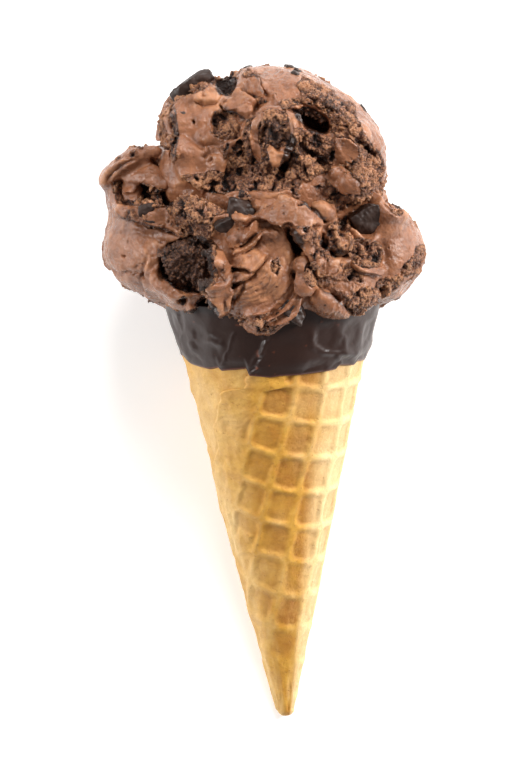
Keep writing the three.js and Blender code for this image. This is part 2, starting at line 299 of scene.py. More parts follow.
@dataclass(frozen=True)
class Drawing:
    """A view of the standing cone that marks are drawn on, ruled in steps across and down."""

    around_deg: float = 0.0
    rise_deg: float = 10.0
    roll_deg: float = 1.9
    step: float = 0.33
    origin: tuple[float, float] = (286.0, 716.0)
    middle: tuple[float, float] = (-2.96, 109.7)
    distance: float = 1800.0

    @property
    def toward(self) -> np.ndarray:
        """The way from the cone to the viewer."""
        around, rise = math.radians(self.around_deg), math.radians(self.rise_deg)
        flat = math.cos(rise)
        return np.array([math.sin(around) * flat, -math.cos(around) * flat, math.sin(rise)])

    @property
    def across(self) -> np.ndarray:
        """The way to the right on the drawing."""
        around = math.radians(self.around_deg)
        return np.array([math.cos(around), math.sin(around), 0.0])

    @property
    def upward(self) -> np.ndarray:
        """The way up on the drawing, before its roll."""
        return np.cross(self.toward, self.across)

    def on_paper(self, path: Path | np.ndarray) -> np.ndarray:
        """Turn steps across and down into mm from the cone's axis and from its tip.

        Args:
            path: Points in steps.

        Returns:
            The points in mm.
        """
        roll = math.radians(self.roll_deg)
        across, down = np.reshape(path, (-1, 2)).T
        right, up = across - self.origin[0], self.origin[1] - down
        return self.step * np.column_stack(
            (
                right * math.cos(roll) + up * math.sin(roll),
                up * math.cos(roll) - right * math.sin(roll),
            )
        )

    def seen(self, points: np.ndarray) -> np.ndarray:
        """Find where places on the cone show on the drawing.

        Args:
            points: Places on the standing cone, in mm.

        Returns:
            Two numbers in mm for each place.
        """
        near = 1.0 - (points @ self.toward) / self.distance
        plain = np.column_stack((points @ self.across, points @ self.upward))
        return self.middle + (plain - self.middle) / near[:, None]

    def ray(self, place: tuple[float, float]) -> tuple[Vector, Vector]:
        """Find the line of sight through a place on the drawing.

        Args:
            place: Steps across and down.

        Returns:
            Where the line starts and its way, on the standing cone in mm.
        """
        flat = self.on_paper(place)[0]
        eye = self.middle[0] * self.across + self.middle[1] * self.upward
        eye = eye + self.distance * self.toward
        way = flat[0] * self.across + flat[1] * self.upward - eye
        return Vector(eye), Vector(way).normalized()


FRONT = Drawing()


@dataclass
class View:
    """What marks need to know of the surface under them."""

    drawing: Drawing
    flat: np.ndarray
    shaken: np.ndarray

    def at(self, path: Path) -> np.ndarray:
        """Turn a mark's steps into mm."""
        return self.drawing.on_paper(path)

    def place(self, shake: float) -> np.ndarray:
        """Where each point counts as being, with the unsteadiness of a torn edge."""
        return self.flat + shake * self.shaken


# --- Marks of the scoop, the spoon and the bite -----------------------------------------------


@dataclass(frozen=True)
class Mark:
    """A change of height, in mm, drawn on the surface."""

    path: Path
    shake: float = field(default=1.0, kw_only=True)
    straight: bool = field(default=False, kw_only=True)

    def lift(self, view: View) -> np.ndarray:
        """The height that the mark adds."""
        return np.zeros(len(view.flat))

    def torn(self, view: View) -> np.ndarray | None:
        """How much the mark leaves the surface crumbly, or None where it leaves it alone."""
        return None

    @property
    def shades(self) -> bool:
        """Whether the mark is a narrow gap that gets painted shade where it is deep."""
        return False


@dataclass(frozen=True)
class Ridge(Mark):
    """A rounded line, raised, or sunk where its height is below 0."""

    height: float = 0.6
    width: float = 1.0
    taper: float = 0.25

    @property
    def shades(self) -> bool:
        """Whether the line is a narrow gap."""
        return self.width <= 1.3

    def lift(self, view: View) -> np.ndarray:
        """The height that the line adds."""
        line = rounded(view.at(self.path))
        gap, share = beside(view.place(self.shake), line)
        ends = smooth(-0.01, self.taper, share) * smooth(-0.01, self.taper, 1.0 - share)
        return self.height * ends * np.exp(-((gap / self.width) ** 2))


@dataclass(frozen=True)
class Ledge(Mark):
    """A sharp step: the side to the left of the way it goes stands over the other side."""

    height: float = 1.2
    reach: float = 5.0
    groove: float = 0.5
    sharp: float = 0.45
    taper: float = 0.2
    lip: float = 0.0

    @property
    def shades(self) -> bool:
        """The groove under a step is always a narrow gap."""
        return True

    def lift(self, view: View) -> np.ndarray:
        """The height that the step adds."""
        line = rounded(view.at(self.path))
        gap, share = beside(view.place(self.shake), line)
        ends = smooth(-0.01, self.taper, share) * smooth(-0.01, self.taper, 1.0 - share)
        raised = smooth(-self.sharp, self.sharp, gap) * np.exp(-(np.maximum(gap, 0) / self.reach) ** 2)
        under = np.exp(-(((gap + 1.6 * self.sharp) / (1.4 * self.sharp)) ** 2))
        edge = np.exp(-(((gap - 1.4 * self.sharp) / (1.2 * self.sharp)) ** 2))
        return ends * (self.height * raised - self.groove * under + self.lip * edge)


@dataclass(frozen=True)
class Dome(Mark):
    """A swelling about a point, or a hollow where its height is below 0."""

    radii: tuple[float, float] = (3.0, 3.0)
    height: float = 1.0
    turn_deg: float = 0.0
    edge: float = 0.0

    @property
    def shades(self) -> bool:
        """Whether the hollow is a narrow hole."""
        return min(self.radii) <= 3.0

    def lift(self, view: View) -> np.ndarray:
        """The height that the swelling adds."""
        off = view.place(self.shake) - view.at(self.path)[0]
        turn = math.radians(self.turn_deg)
        along = off[:, 0] * math.cos(turn) + off[:, 1] * math.sin(turn)
        over = off[:, 1] * math.cos(turn) - off[:, 0] * math.sin(turn)
        away = np.hypot(along / self.radii[0], over / self.radii[1])
        return self.height * (1.0 - smooth(self.edge, 1.0, away))


@dataclass(frozen=True)
class Field(Mark):
    """An area with a height of its own and with its own finish."""

    height: float = 0.0
    edge: float = 0.8
    crumbly: float | None = None
    round_corners: bool = True

    @property
    def shades(self) -> bool:
        """Whether the area is a hole pushed straight in."""
        return self.straight

    def depth(self, view: View) -> np.ndarray:
        """How deep inside the area each point lies, in mm."""
        outline = view.at(self.path)
        if self.round_corners:
            outline = rounded(outline, closed=True, step=1.5)
        return within(view.place(self.shake), outline)

    def lift(self, view: View) -> np.ndarray:
        """The height that the area adds."""
        if not self.height:
            return np.zeros(len(view.flat))
        return self.height * smooth(-0.5 * self.edge, 0.5 * self.edge, self.depth(view))

    def torn(self, view: View) -> np.ndarray | None:
        """The share of the area's own finish, below 0 where it is smooth."""
        if self.crumbly is None:
            return None
        share = smooth(-0.4, 0.6, self.depth(view))
        return share * (self.crumbly if self.crumbly > 0 else -1.0)


@dataclass(frozen=True)
class Comb(Mark):
    """Fine ridges in the way of a path, such as a spoon leaves."""

    guide: Path = ()
    pitch: float = 1.3
    height: float = 0.15

    def lift(self, view: View) -> np.ndarray:
        """The height that the ridges add."""
        line = rounded(view.at(self.guide))
        depth = within(view.flat, rounded(view.at(self.path), closed=True, step=1.5))
        gap, share = beside(view.flat, line)
        sway = np.column_stack((gap * 0.5, share * 9.0, np.zeros(len(gap))))
        wave = np.sin(gap * (2 * math.pi / self.pitch) + 5.0 * swell(sway, 1.6, 5, 2))
        strength = 0.55 + 0.45 * swell(sway + 9.0, 2.0, 3, 2)
        return self.height * wave * strength * smooth(0.0, 2.0, depth)


# --- Clay -------------------------------------------------------------------------------------


class Clay:
    """A lump that marks shape, as a mesh of the standing cone in mm."""

    def __init__(self, mesh: bpy.types.Mesh) -> None:
        """Take over a mesh."""
        self.mesh = mesh
        self.read()

    def read(self) -> None:
        """Take the points and edges from the mesh."""
        count = len(self.mesh.vertices)
        self.points = np.empty(count * 3, np.float32)
        self.mesh.vertices.foreach_get("co", self.points)
        self.points = self.points.reshape(-1, 3).astype(float)
        self.edges = np.empty(len(self.mesh.edges) * 2, np.int32)
        self.mesh.edges.foreach_get("vertices", self.edges)
        self.edges = self.edges.reshape(-1, 2)

    def write(self) -> None:
        """Put the points back into the mesh."""
        self.mesh.vertices.foreach_set("co", self.points.astype(np.float32).ravel())
        self.mesh.update()

    def normals(self, evened: int = 0) -> np.ndarray:
        """The way out of the surface at each point.

        Args:
            evened: How often the ways are evened out.

        Returns:
            Vectors of length 1.
        """
        self.write()
        ways = np.empty(len(self.points) * 3, np.float32)
        self.mesh.vertex_normals.foreach_get("vector", ways)
        ways = relaxed(ways.reshape(-1, 3).astype(float), self.edges, evened)
        return ways / np.maximum(np.linalg.norm(ways, axis=1, keepdims=True), 1e-9)

    def reskin(self, size: float, evened: int) -> None:
        """Cover the lump with a new, even mesh.

        Args:
            size: The size of its squares, in mm.
            evened: How often the new points are evened out.
        """
        self.write()
        holder = bpy.data.objects.new("clay", self.mesh)
        bpy.context.scene.collection.objects.link(holder)
        skin = holder.modifiers.new("skin", "REMESH")
        skin.mode = "VOXEL"
        skin.voxel_size = size
        depsgraph = bpy.context.evaluated_depsgraph_get()
        fresh = bpy.data.meshes.new_from_object(holder.evaluated_get(depsgraph))
        bpy.data.objects.remove(holder)
        bpy.data.meshes.remove(self.mesh)
        self.mesh = fresh
        self.read()
        self.points = relaxed(self.points, self.edges, evened)

    def look(self, drawing: Drawing) -> View:
        """See the lump on a drawing.

        Args:
            drawing: The drawing that marks are on.

        Returns:
            Where each point shows on it.
        """
        unsteady = np.column_stack(
            [
                0.4 * swell(self.points, 2.8, seed, 2) + 0.12 * swell(self.points, 0.9, seed + 5)
                for seed in (31, 47)
            ]
        )
        return View(drawing, drawing.seen(self.points), unsteady)

    def scar(self, seed: int, count: int, spare: np.ndarray) -> None:
        """Drag random ledges over the surface, such as a scoop leaves.

        Args:
            seed: Another seed gives other ledges.
            count: How many there are.
            spare: The share of each ledge that each point takes.
        """
        tree = self.tree()
        random = np.random.default_rng(seed)
        ways = self.normals(8)
        warped = self.points + 0.6 * np.column_stack([swell(self.points, 3.0, seed + k, 2) for k in range(3)])
        height = np.zeros(len(self.points))
        starts = random.choice(np.flatnonzero(spare > 0.5), count)
        for start in starts:
            place, way = Vector(self.points[start]), Vector(random.normal(size=3))
            bend, line = random.normal() * 0.06, []
            for _ in range(random.integers(8, 18)):
                place, out, _, _ = tree.find_nearest(place)
                way = (way - out * way.dot(out)).normalized()
                line.append(np.array(place))
                way = (way + out.cross(way) * (bend + random.normal() * 0.09)).normalized()
                place = place + way * 1.9
            height += self.ledge(np.array(line), warped, ways, random)
        self.points += (height * spare)[:, None] * ways

    def ledge(
        self, line: np.ndarray, places: np.ndarray, ways: np.ndarray, random: np.random.Generator
    ) -> np.ndarray:
        """Work out one ledge over the surface.

        Args:
            line: The ledge's line, in mm.
            places: Where each point counts as being, in mm.
            ways: The way out of the surface at each point.
            random: Where its size comes from.

        Returns:
            The height that it adds to each point.
        """
        reach, tall = random.uniform(3.0, 7.0), random.uniform(0.9, 2.2)
        groove, sharp = random.uniform(0.3, 1.6), random.uniform(0.35, 0.7)
        near = np.all((places > line.min(0) - 9.0) & (places < line.max(0) + 9.0), axis=1)
        spots, outs = places[near], ways[near]
        best = np.full(len(spots), 1e9)
        side, share = np.zeros(len(spots)), np.zeros(len(spots))
        for index, (start, end) in enumerate(zip(line[:-1], line[1:])):
            way = end - start
            t = np.clip(((spots - start) @ way) / max(way @ way, 1e-9), 0.0, 1.0)
            off = spots - start - t[:, None] * way
            gap = np.linalg.norm(off, axis=1)
            closer = gap < best
            turn = np.einsum("ij,ij->i", np.cross(way, off), outs)
            best[closer] = gap[closer]
            side[closer] = np.where(turn[closer] < 0, -1.0, 1.0)
            share[closer] = (index + t[closer]) / (len(line) - 1)
        gap = best * side
        ends = smooth(0.0, 0.3, share) * smooth(0.0, 0.3, 1.0 - share)
        raised = smooth(-sharp, sharp, gap) * np.exp(-((np.maximum(gap, 0.0) / reach) ** 2))
        under = np.exp(-(((gap + 1.6 * sharp) / (1.4 * sharp)) ** 2))
        height = np.zeros(len(places))
        height[near] = ends * (tall * raised - groove * under)
        return height

    def reached(
        self, marks: tuple[Mark, ...], drawing: Drawing, evened: int
    ) -> Iterator[tuple[Mark, np.ndarray, View, np.ndarray]]:
        """Go through the marks with the points that each can reach.

        Args:
            marks: The marks.
            drawing: The drawing that they are on.
            evened: How often the ways out of the surface are evened out.

        Yields:
            Each mark, whether it reaches each point, how those points show on the drawing, and
            how far they face it.
        """
        facing = smooth(-0.15, 0.3, self.normals(evened) @ drawing.toward)
        view = self.look(drawing)
        for mark in marks:
            path = view.at(mark.path)
            room = 9.0 if not isinstance(mark, Dome) else max(mark.radii) + 1.5
            near = np.all((view.flat > path.min(0) - room) & (view.flat < path.max(0) + room), axis=1)
            near &= facing > 0
            if near.any():
                yield mark, near, View(drawing, view.flat[near], view.shaken[near]), facing[near]

    def press(self, marks: tuple[Mark, ...], drawing: Drawing, evened: int, gain: float) -> None:
        """Shape the lump with marks.

        Args:
            marks: The marks, pressed one after another.
            drawing: The drawing that they are on.
            evened: How often the ways that they move the surface are evened out.
            gain: How much higher or deeper than drawn the marks are.
        """
        ways = self.normals(evened)
        shift = np.zeros_like(self.points)
        for mark, near, view, facing in self.reached(marks, drawing, evened):
            way = drawing.toward if mark.straight else ways[near]
            shift[near] += (mark.lift(view) * facing)[:, None] * way
        self.points += gain * shift

    def depths(self, marks: tuple[Mark, ...], drawing: Drawing) -> np.ndarray:
        """Find how deep marks have sunk each point, in mm."""
        depth = np.zeros(len(self.points))
        marks = tuple(mark for mark in marks if mark.shades)
        for mark, near, view, facing in self.reached(marks, drawing, 6):
            depth[near] -= np.minimum(mark.lift(view) * facing, 0.0)
        return depth

    def crumbliness(self, marks: tuple[Mark, ...], drawing: Drawing, whole: np.ndarray) -> np.ndarray:
        """Find where the surface is torn.

        Args:
            marks: The marks on the lump; a later one covers an earlier one.
            drawing: The drawing that they are on.
            whole: How torn the surface is without them.

        Returns:
            The share of torn surface at each point.
        """
        torn = whole.copy()
        fields = tuple(mark for mark in marks if isinstance(mark, Field) and mark.crumbly is not None)
        for mark, near, view, facing in self.reached(fields, drawing, 6):
            share = mark.torn(view) * facing
            torn[near] = np.where(share >= 0, np.maximum(torn[near], share), torn[near] * (1.0 + share))
        return torn

    def tree(self) -> BVHTree:
        """The surface as a tree that finds places on it."""
        faces = [list(each.vertices) for each in self.mesh.polygons]
        return BVHTree.FromPolygons(self.points.tolist(), faces)


# --- Turning lumps into pieces ----------------------------------------------------------------


def skinned_union(parts: bmesh.types.BMesh, size: float, evened: int) -> Clay:
    """Melt overlapping closed shapes into one lump.

    Args:
        parts: The shapes, on the standing cone in mm; freed here.
        size: The size of the new mesh's squares, in mm.
        evened: How often its points are evened out.

    Returns:
        The lump.
    """
    mesh = bpy.data.meshes.new("clay")
    parts.to_mesh(mesh)
    parts.free()
    clay = Clay(mesh)
    clay.reskin(size, evened)
    return clay


def thinned(mesh: bpy.types.Mesh, triangles: int, spare: np.ndarray) -> bpy.types.Mesh:
    """Drop points where a mesh is even.

    Args:
        mesh: The mesh; it is used up.
        triangles: How many triangles may stay.
        spare: Which points are dropped first.

    Returns:
        A mesh of triangles with its attributes.
    """
    count = sum(len(each.vertices) - 2 for each in mesh.polygons)
    if count <= triangles:
        return mesh
    holder = bpy.data.objects.new("clay", mesh)
    bpy.context.scene.collection.objects.link(holder)
    group = holder.vertex_groups.new(name="spare")
    group.add(np.flatnonzero(spare).tolist(), 1.0, "REPLACE")
    fewer = holder.modifiers.new("fewer", "DECIMATE")
    fewer.ratio = triangles / count
    fewer.vertex_group = group.name
    fewer.vertex_group_factor = 1.0
    fresh = bpy.data.meshes.new_from_object(holder.evaluated_get(bpy.context.evaluated_depsgraph_get()))
    bpy.data.objects.remove(holder)
    bpy.data.meshes.remove(mesh)
    LOG.info("thinned to %d triangles", len(fresh.polygons))
    return fresh


def grid_mesh(name: str, columns: int, rows: int, side: float = 1.0) -> bpy.types.Mesh:
    """Make a flat grid about the origin.

    Args:
        name: The mesh's name.
        columns: How many squares it has across.
        rows: How many it has along.
        side: How long its sides are.

    Returns:
        The grid.
    """
    grid = bmesh.new()
    bmesh.ops.create_grid(grid, x_segments=columns, y_segments=rows, size=side / 2)
    mesh = bpy.data.meshes.new(name)
    grid.to_mesh(mesh)
    grid.free()
    return mesh


def attribute(mesh: bpy.types.Mesh, name: str, values: np.ndarray) -> None:
    """Write a number for each vertex that a finish reads.

    Args:
        mesh: The mesh.
        name: The attribute's name.
        values: One number for each vertex.
    """
    layer = mesh.attributes.get(name) or mesh.attributes.new(name, "FLOAT", "POINT")
    layer.data.foreach_set("value", values.astype(np.float32))


def finish_piece(
    name: str,
    mesh: bpy.types.Mesh,
    material: bpy.types.Material,
    nodes: tuple[str, ...] = (),
) -> bpy.types.Object:
    """Make a mesh a piece of the object.

    Args:
        name: The piece's name.
        mesh: Its mesh, in mm on the standing cone.
        material: Its finish.
        nodes: The CAD nodes that it stands for.

    Returns:
        The piece.
    """
    points = np.empty(len(mesh.vertices) * 3, np.float32)
    mesh.vertices.foreach_get("co", points)
    laid = RESTING.to_floor(points.reshape(-1, 3).astype(float))
    laid[:, 2] = np.maximum(laid[:, 2], 0.0)
    mesh.vertices.foreach_set("co", laid.astype(np.float32).ravel())
    mesh.materials.clear()
    mesh.materials.append(material)
    mesh.polygons.foreach_set("use_smooth", [True] * len(mesh.polygons))
    mesh.polygons.foreach_set("material_index", [0] * len(mesh.polygons))
    mesh.update()
    mesh.name = name
    piece = bpy.data.objects.new(name, mesh)
    bpy.context.scene.collection.objects.link(piece)
    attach(piece, "root")
    if nodes:
        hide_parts(*nodes)
    LOG.info("%s: %d points, %d faces", name, len(mesh.vertices), len(mesh.polygons))
    return piece


# --- Finishes ---------------------------------------------------------------------------------


def tone(red: int, green: int, blue: int) -> tuple[float, float, float, float]:
    """Turn a colour as screens count it into light.

    Args:
        red: From 0 to 255.
        green: From 0 to 255.
        blue: From 0 to 255.

    Returns:
        The colour as the shader needs it.
    """
    light = [each / 255.0 for each in (red, green, blue)]
    light = [each / 12.92 if each <= 0.04045 else ((each + 0.055) / 1.055) ** 2.4 for each in light]
    return (*light, 1.0)


class Shader:
    """A material's nodes, joined up by short calls."""

    def __init__(self, name: str) -> None:
        """Start a material with one Principled shader."""
        self.material = bpy.data.materials.new(name)
        self.material.use_nodes = True
        self.tree = self.material.node_tree
        self.body = self.tree.nodes["Principled BSDF"]
        self.place = self.tree.nodes.new("ShaderNodeTexCoord").outputs["Object"]

    def add(self, kind: str, **settings: object) -> bpy.types.Node:
        """Add a node.

        Args:
            kind: Its type without the common first part.
            **settings: Its own settings.

        Returns:
            The node.
        """
        node = self.tree.nodes.new("ShaderNode" + kind)
        for key, value in settings.items():
            setattr(node, key, value)
        return node

    def feed(self, socket: bpy.types.NodeSocket, value: object) -> None:
        """Link an output to a socket, or set the socket's own value."""
        if isinstance(value, bpy.types.NodeSocket):
            self.tree.links.new(value, socket)
        else:
            socket.default_value = value

    def read(self, name: str) -> bpy.types.NodeSocket:
        """The number that the mesh carries under a name."""
        return self.add("Attribute", attribute_name=name).outputs["Fac"]

    def noise(self, size: float, detail: float = 3.0, rough: float = 0.55) -> bpy.types.NodeSocket:
        """Random cloudiness.

        Args:
            size: The clouds' size in mm.
            detail: How many finer layers it has.
            rough: How strong those are.

        Returns:
            A number from about 0 to 1.
        """
        node = self.add("TexNoise")
        self.feed(node.inputs["Vector"], self.place)
        self.feed(node.inputs["Scale"], 1.0 / (size * MM))
        self.feed(node.inputs["Detail"], detail)
        self.feed(node.inputs["Roughness"], rough)
        return node.outputs["Fac"]

    def math(self, operation: str, first: object, second: object = 0.0) -> bpy.types.NodeSocket:
        """Work out a number from two.

        Args:
            operation: What is done.
            first: A number or an output.
            second: A number or an output.

        Returns:
            The result.
        """
        node = self.add("Math", operation=operation)
        self.feed(node.inputs[0], first)
        self.feed(node.inputs[1], second)
        return node.outputs[0]

    def span(
        self, value: object, low: float, high: float, start: float = 0.0, end: float = 1.0
    ) -> bpy.types.NodeSocket:
        """Spread a number's range over another range.

        Args:
            value: The number.
            low: What becomes start.
            high: What becomes end.
            start: The first result.
            end: The last result.

        Returns:
            The result, kept within its range.
        """
        node = self.add("MapRange")
        for socket, given in zip(node.inputs[:5], (value, low, high, start, end)):
            self.feed(socket, given)
        return node.outputs["Result"]

    def mix(self, share: object, first: object, second: object) -> bpy.types.NodeSocket:
        """Mix two colours.

        Args:
            share: How much of the second colour there is.
            first: The first colour.
            second: The second colour.

        Returns:
            The mixed colour.
        """
        node = self.add("Mix", data_type="RGBA")
        self.feed(node.inputs[0], share)
        self.feed(node.inputs[6], first)
        self.feed(node.inputs[7], second)
        return node.outputs[2]

    def bump(self, height: object, depth: float, under: object = None) -> bpy.types.NodeSocket:
        """Roughen the surface.

        Args:
            height: The height from 0 to 1.
            depth: How many mm the full height is.
            under: The roughening that this one lies on.

        Returns:
            The surface's new way out.
        """
        node = self.add("Bump")
        self.feed(node.inputs["Strength"], 1.0)
        self.feed(node.inputs["Distance"], depth * MM)
        self.feed(node.inputs["Height"], height)
        if under is not None:
            self.feed(node.inputs["Normal"], under)
        return node.outputs["Normal"]

    def set(self, **values: object) -> None:
        """Set or link the Principled shader's sockets, named with _ for a space."""
        for key, value in values.items():
            self.feed(self.body.inputs[key.replace("_", " ")], value)


@dataclass(frozen=True)
class IceCreamFinish:
    """Chocolate ice cream: satin where a spoon smoothed it, crumbly where it tore, with painted shade and
    highlights.
    """

    skin: Tone = (148, 98, 69)
    skin_deep: Tone = (113, 71, 48)
    crumb: Tone = (140, 92, 66)
    # deep is partly a darker crumb tone and partly painted shade in the crumb's low parts; shade and hollow
    # are painted shade for gaps, creases and holes; the last colour is a painted highlight for raised bits.
    deep: Tone = (66, 38, 26)
    shade: Tone = (66, 37, 25)
    hollow: Tone = (30, 16, 10)
    painted_light: Tone = (202, 143, 101)

    def make(self) -> bpy.types.Material:
        """Build the material."""
        shader = Shader("ice_cream")
        torn, hollow, painted_light = shader.read("torn"), shader.read("hollow"), shader.read("painted_light")
        clouds = shader.span(shader.noise(4.0, 6.0, 0.7), 0.35, 0.68)
        smooth_tone = shader.mix(clouds, tone(*self.skin), tone(*self.skin_deep))
        grit = shader.noise(0.95, 3.0, 0.6)
        # Partly painted shade: the crumb is darker where grit is low, and grit also sets the height of its
        # coarse bumps.
        torn_tone = shader.mix(shader.span(grit, 0.4, 0.58), tone(*self.deep), tone(*self.crumb))
        # Painted highlights on crumbs that stand above their neighbourhood.
        torn_tone = shader.mix(shader.math("MULTIPLY", painted_light, 0.7), torn_tone, tone(*self.painted_light))
        # Random specks of painted highlight and of painted shade over the crumb, standing in for lit tips and
        # shaded gaps.
        tips = shader.span(shader.noise(0.55, 3.0, 0.6), 0.55, 0.65, 0.0, 0.65)
        gaps = shader.span(shader.noise(0.7, 3.0, 0.65), 0.45, 0.37, 0.0, 0.8)
        torn_tone = shader.mix(tips, torn_tone, tone(*self.painted_light))
        torn_tone = shader.mix(gaps, torn_tone, tone(*self.shade))
        # Painted highlights on the raised bits of the smooth skin, weaker than on the crumb.
        smooth_tone = shader.mix(shader.math("MULTIPLY", painted_light, 0.45), smooth_tone, tone(*self.painted_light))
        colour = shader.mix(torn, smooth_tone, torn_tone)
        # Painted shade where the mesh is sunk and in the narrow gaps and holes that marks press in, darkest
        # in the deepest.
        colour = shader.mix(shader.span(hollow, 0.0, 0.7, 0.0, 0.8), colour, tone(*self.shade))
        colour = shader.mix(shader.span(hollow, 0.5, 1.0, 0.0, 0.92), colour, tone(*self.hollow))
        fine = shader.bump(shader.noise(0.5, 3.0, 0.6), 0.14)
        coarse = shader.bump(shader.math("MULTIPLY", grit, torn), 1.5, fine)
        lumps = shader.math("MULTIPLY", shader.noise(1.4, 4.0, 0.7), shader.span(torn, 0.0, 1.0, 0.4, 1.0))
        surface = shader.bump(lumps, 0.6, coarse)
        rough = shader.span(torn, 0.0, 1.0, 0.24, 0.36)
        rough = shader.math("ADD", rough, shader.span(shader.noise(4.0), 0.3, 0.7, -0.1, 0.1))
        shader.set(Base_Color=colour, Roughness=rough, Normal=surface, Specular_IOR_Level=0.45)
        shader.set(Subsurface_Weight=0.05, Subsurface_Scale=0.001, Subsurface_Radius=(1.0, 0.5, 0.3))
        return shader.material


@dataclass(frozen=True)
class BrownieFinish:
    """Baked brownie crumb: nearly black, dry, with a few brown grains and painted shade in its pits."""

    crumb: Tone = (58, 33, 22)
    grain: Tone = (138, 94, 66)
    # Painted shade colour for the pits of the crumb.
    deep: Tone = (18, 9, 5)

    def make(self) -> bpy.types.Material:
        """Build the material."""
        shader = Shader("brownie")
        hollow = shader.read("hollow")
        grains = shader.span(shader.noise(0.8, 4.0, 0.7), 0.5, 0.64)
        colour = shader.mix(grains, tone(*self.crumb), tone(*self.grain))
        # Painted shade where the crumb's surface is sunk.
        colour = shader.mix(hollow, colour, tone(*self.deep))
        surface = shader.bump(shader.noise(0.55, 4.0, 0.7), 0.35)
        shader.set(Base_Color=colour, Roughness=shader.span(grains, 0.0, 1.0, 0.4, 0.6), Normal=surface)
        shader.set(Specular_IOR_Level=0.35)
        return shader.material


@dataclass(frozen=True)
class ChunkFinish:
    """Chopped dark chocolate, dulled by the cold."""

    face: Tone = (42, 28, 22)
    bloom: Tone = (60, 43, 36)

    def make(self) -> bpy.types.Material:
        """Build the material."""
        shader = Shader("dark_chunk")
        bloom = shader.span(shader.noise(2.4, 5.0, 0.65), 0.42, 0.72)
        colour = shader.mix(bloom, tone(*self.face), tone(*self.bloom))
        surface = shader.bump(shader.noise(1.0, 3.0), 0.08)
        shader.set(Base_Color=colour, Roughness=shader.span(bloom, 0.0, 1.0, 0.38, 0.6), Normal=surface)
        shader.set(Specular_IOR_Level=0.3)
        return shader.material


@dataclass(frozen=True)
class WaferFinish:
    """Baked waffle: golden ribs, browner pockets, a fine baked grain, and painted light on its lit sides and
    rib edges.
    """

    rib: Tone = (211, 159, 64)
    pocket: Tone = (153, 94, 34)
    toast: Tone = (190, 134, 44)
    # Painted light colour for the lit sides and the highlights along the raised lines.
    painted_light: Tone = (238, 210, 156)
    speck: Tone = (196, 138, 60)

    def make(self) -> bpy.types.Material:
        """Build the material."""
        shader = Shader("waffle")
        pocket, painted_light = shader.read("pocket"), shader.read("painted_light")
        clouds = shader.span(shader.noise(5.0, 5.0, 0.65), 0.4, 0.62)
        colour = shader.mix(clouds, tone(*self.rib), tone(*self.toast))
        blotch = shader.span(shader.noise(3.0, 4.0, 0.7), 0.3, 0.65, 0.45, 1.0)
        # Painted light from the mesh's mask: lighter sides, highlights on the raised lines and random lighter
        # patches.
        colour = shader.mix(painted_light, colour, tone(*self.painted_light))
        colour = shader.mix(shader.math("MULTIPLY", pocket, blotch), colour, tone(*self.pocket))
        speckle = shader.span(shader.noise(0.7, 4.0, 0.75), 0.35, 0.7)
        colour = shader.mix(shader.math("MULTIPLY", speckle, 0.28), colour, tone(*self.speck))
        pores = shader.span(shader.noise(1.3, 2.0), 0.64, 0.72)
        colour = shader.mix(shader.math("MULTIPLY", pores, 0.35), colour, tone(*self.pocket))
        grain = shader.bump(shader.noise(0.7, 5.0, 0.75), 0.26)
        surface = shader.bump(shader.noise(2.6, 3.0), 0.45, grain)
        surface = shader.bump(shader.math("MULTIPLY", pores, -1.0), 0.15, surface)
        shader.set(Base_Color=colour, Roughness=0.52, Normal=surface, Specular_IOR_Level=0.3)
        shader.set(Subsurface_Weight=0.08, Subsurface_Scale=0.0015, Subsurface_Radius=(1.0, 0.6, 0.3))
        return shader.material


@dataclass(frozen=True)
class DipFinish:
    """Set chocolate coating: dark, with a soft shine and tiny reddish pinholes."""

    coat: Tone = (44, 26, 20)
    thin: Tone = (104, 56, 38)

    def make(self) -> bpy.types.Material:
        """Build the material."""
        shader = Shader("chocolate_dip")
        thin = shader.read("thin")
        colour = shader.mix(thin, tone(*self.coat), tone(*self.thin))
        ripple = shader.bump(shader.noise(4.0, 2.0), 0.12)
        surface = shader.bump(shader.noise(0.8, 3.0), 0.02, ripple)
        rough = shader.span(shader.noise(6.0, 3.0), 0.3, 0.7, 0.28, 0.42)
        shader.set(Base_Color=colour, Roughness=rough, Normal=surface, Specular_IOR_Level=0.33)
        return shader.material


# --- Ice cream --------------------------------------------------------------------------------


@dataclass(frozen=True)
class Lobe:
    """An egg-shaped swelling of a scoop: its middle and its three radii, in mm."""

    at: Triple
    radii: Triple


@dataclass(frozen=True)
class Fold:
    """A fat strip pushed up by the scoop: its line and its thickness, in mm."""

    path: tuple[Triple, ...]
    width: float
    thick: float


LOWER_LOBES = (
    Lobe((-2, 1, 157), (45, 43, 25.8)),  # middle
    Lobe((-32, -4, 161.2), (21.8, 27, 20.8)),  # left cheek
    Lobe((-36, -5, 176), (17, 19, 15)),  # left shoulder
    Lobe((31.5, -4, 154.5), (18, 24, 17)),  # right cheek
    Lobe((32, -14, 164), (11.2, 13, 8.6)),  # right shoulder
    Lobe((-3, -26, 152.5), (20, 17.5, 18.5)),  # middle swirl
    Lobe((-22, -21, 151.5), (17, 18, 11.6)),  # lower left fold
    Lobe((19, -22, 147.5), (17, 17, 11.5)),  # lower right fold
    Lobe((-4, -33.6, 138), (6.8, 4.0, 5.0)),  # drip
    Lobe((14, 22, 161), (27, 20, 20.5)),  # right back
    Lobe((-22, 20, 153), (24, 21, 17)),  # left back
)

LOWER_FOLDS = (
    Fold(((-35, -19, 192), (-43, -16.5, 189), (-50, -11, 183), (-51.5, -5, 176)), 3.8, 3.6),
    Fold(((-36, -24, 176), (-20, -34, 171), (-5, -39.3, 168.5), (10, -38.3, 171), (21, -33, 169)), 4.4, 3.4),
    Fold(((-50, -9, 170), (-43, -22, 170), (-34, -28, 166.5), (-26, -32, 163.5)), 3.6, 3.0),
)

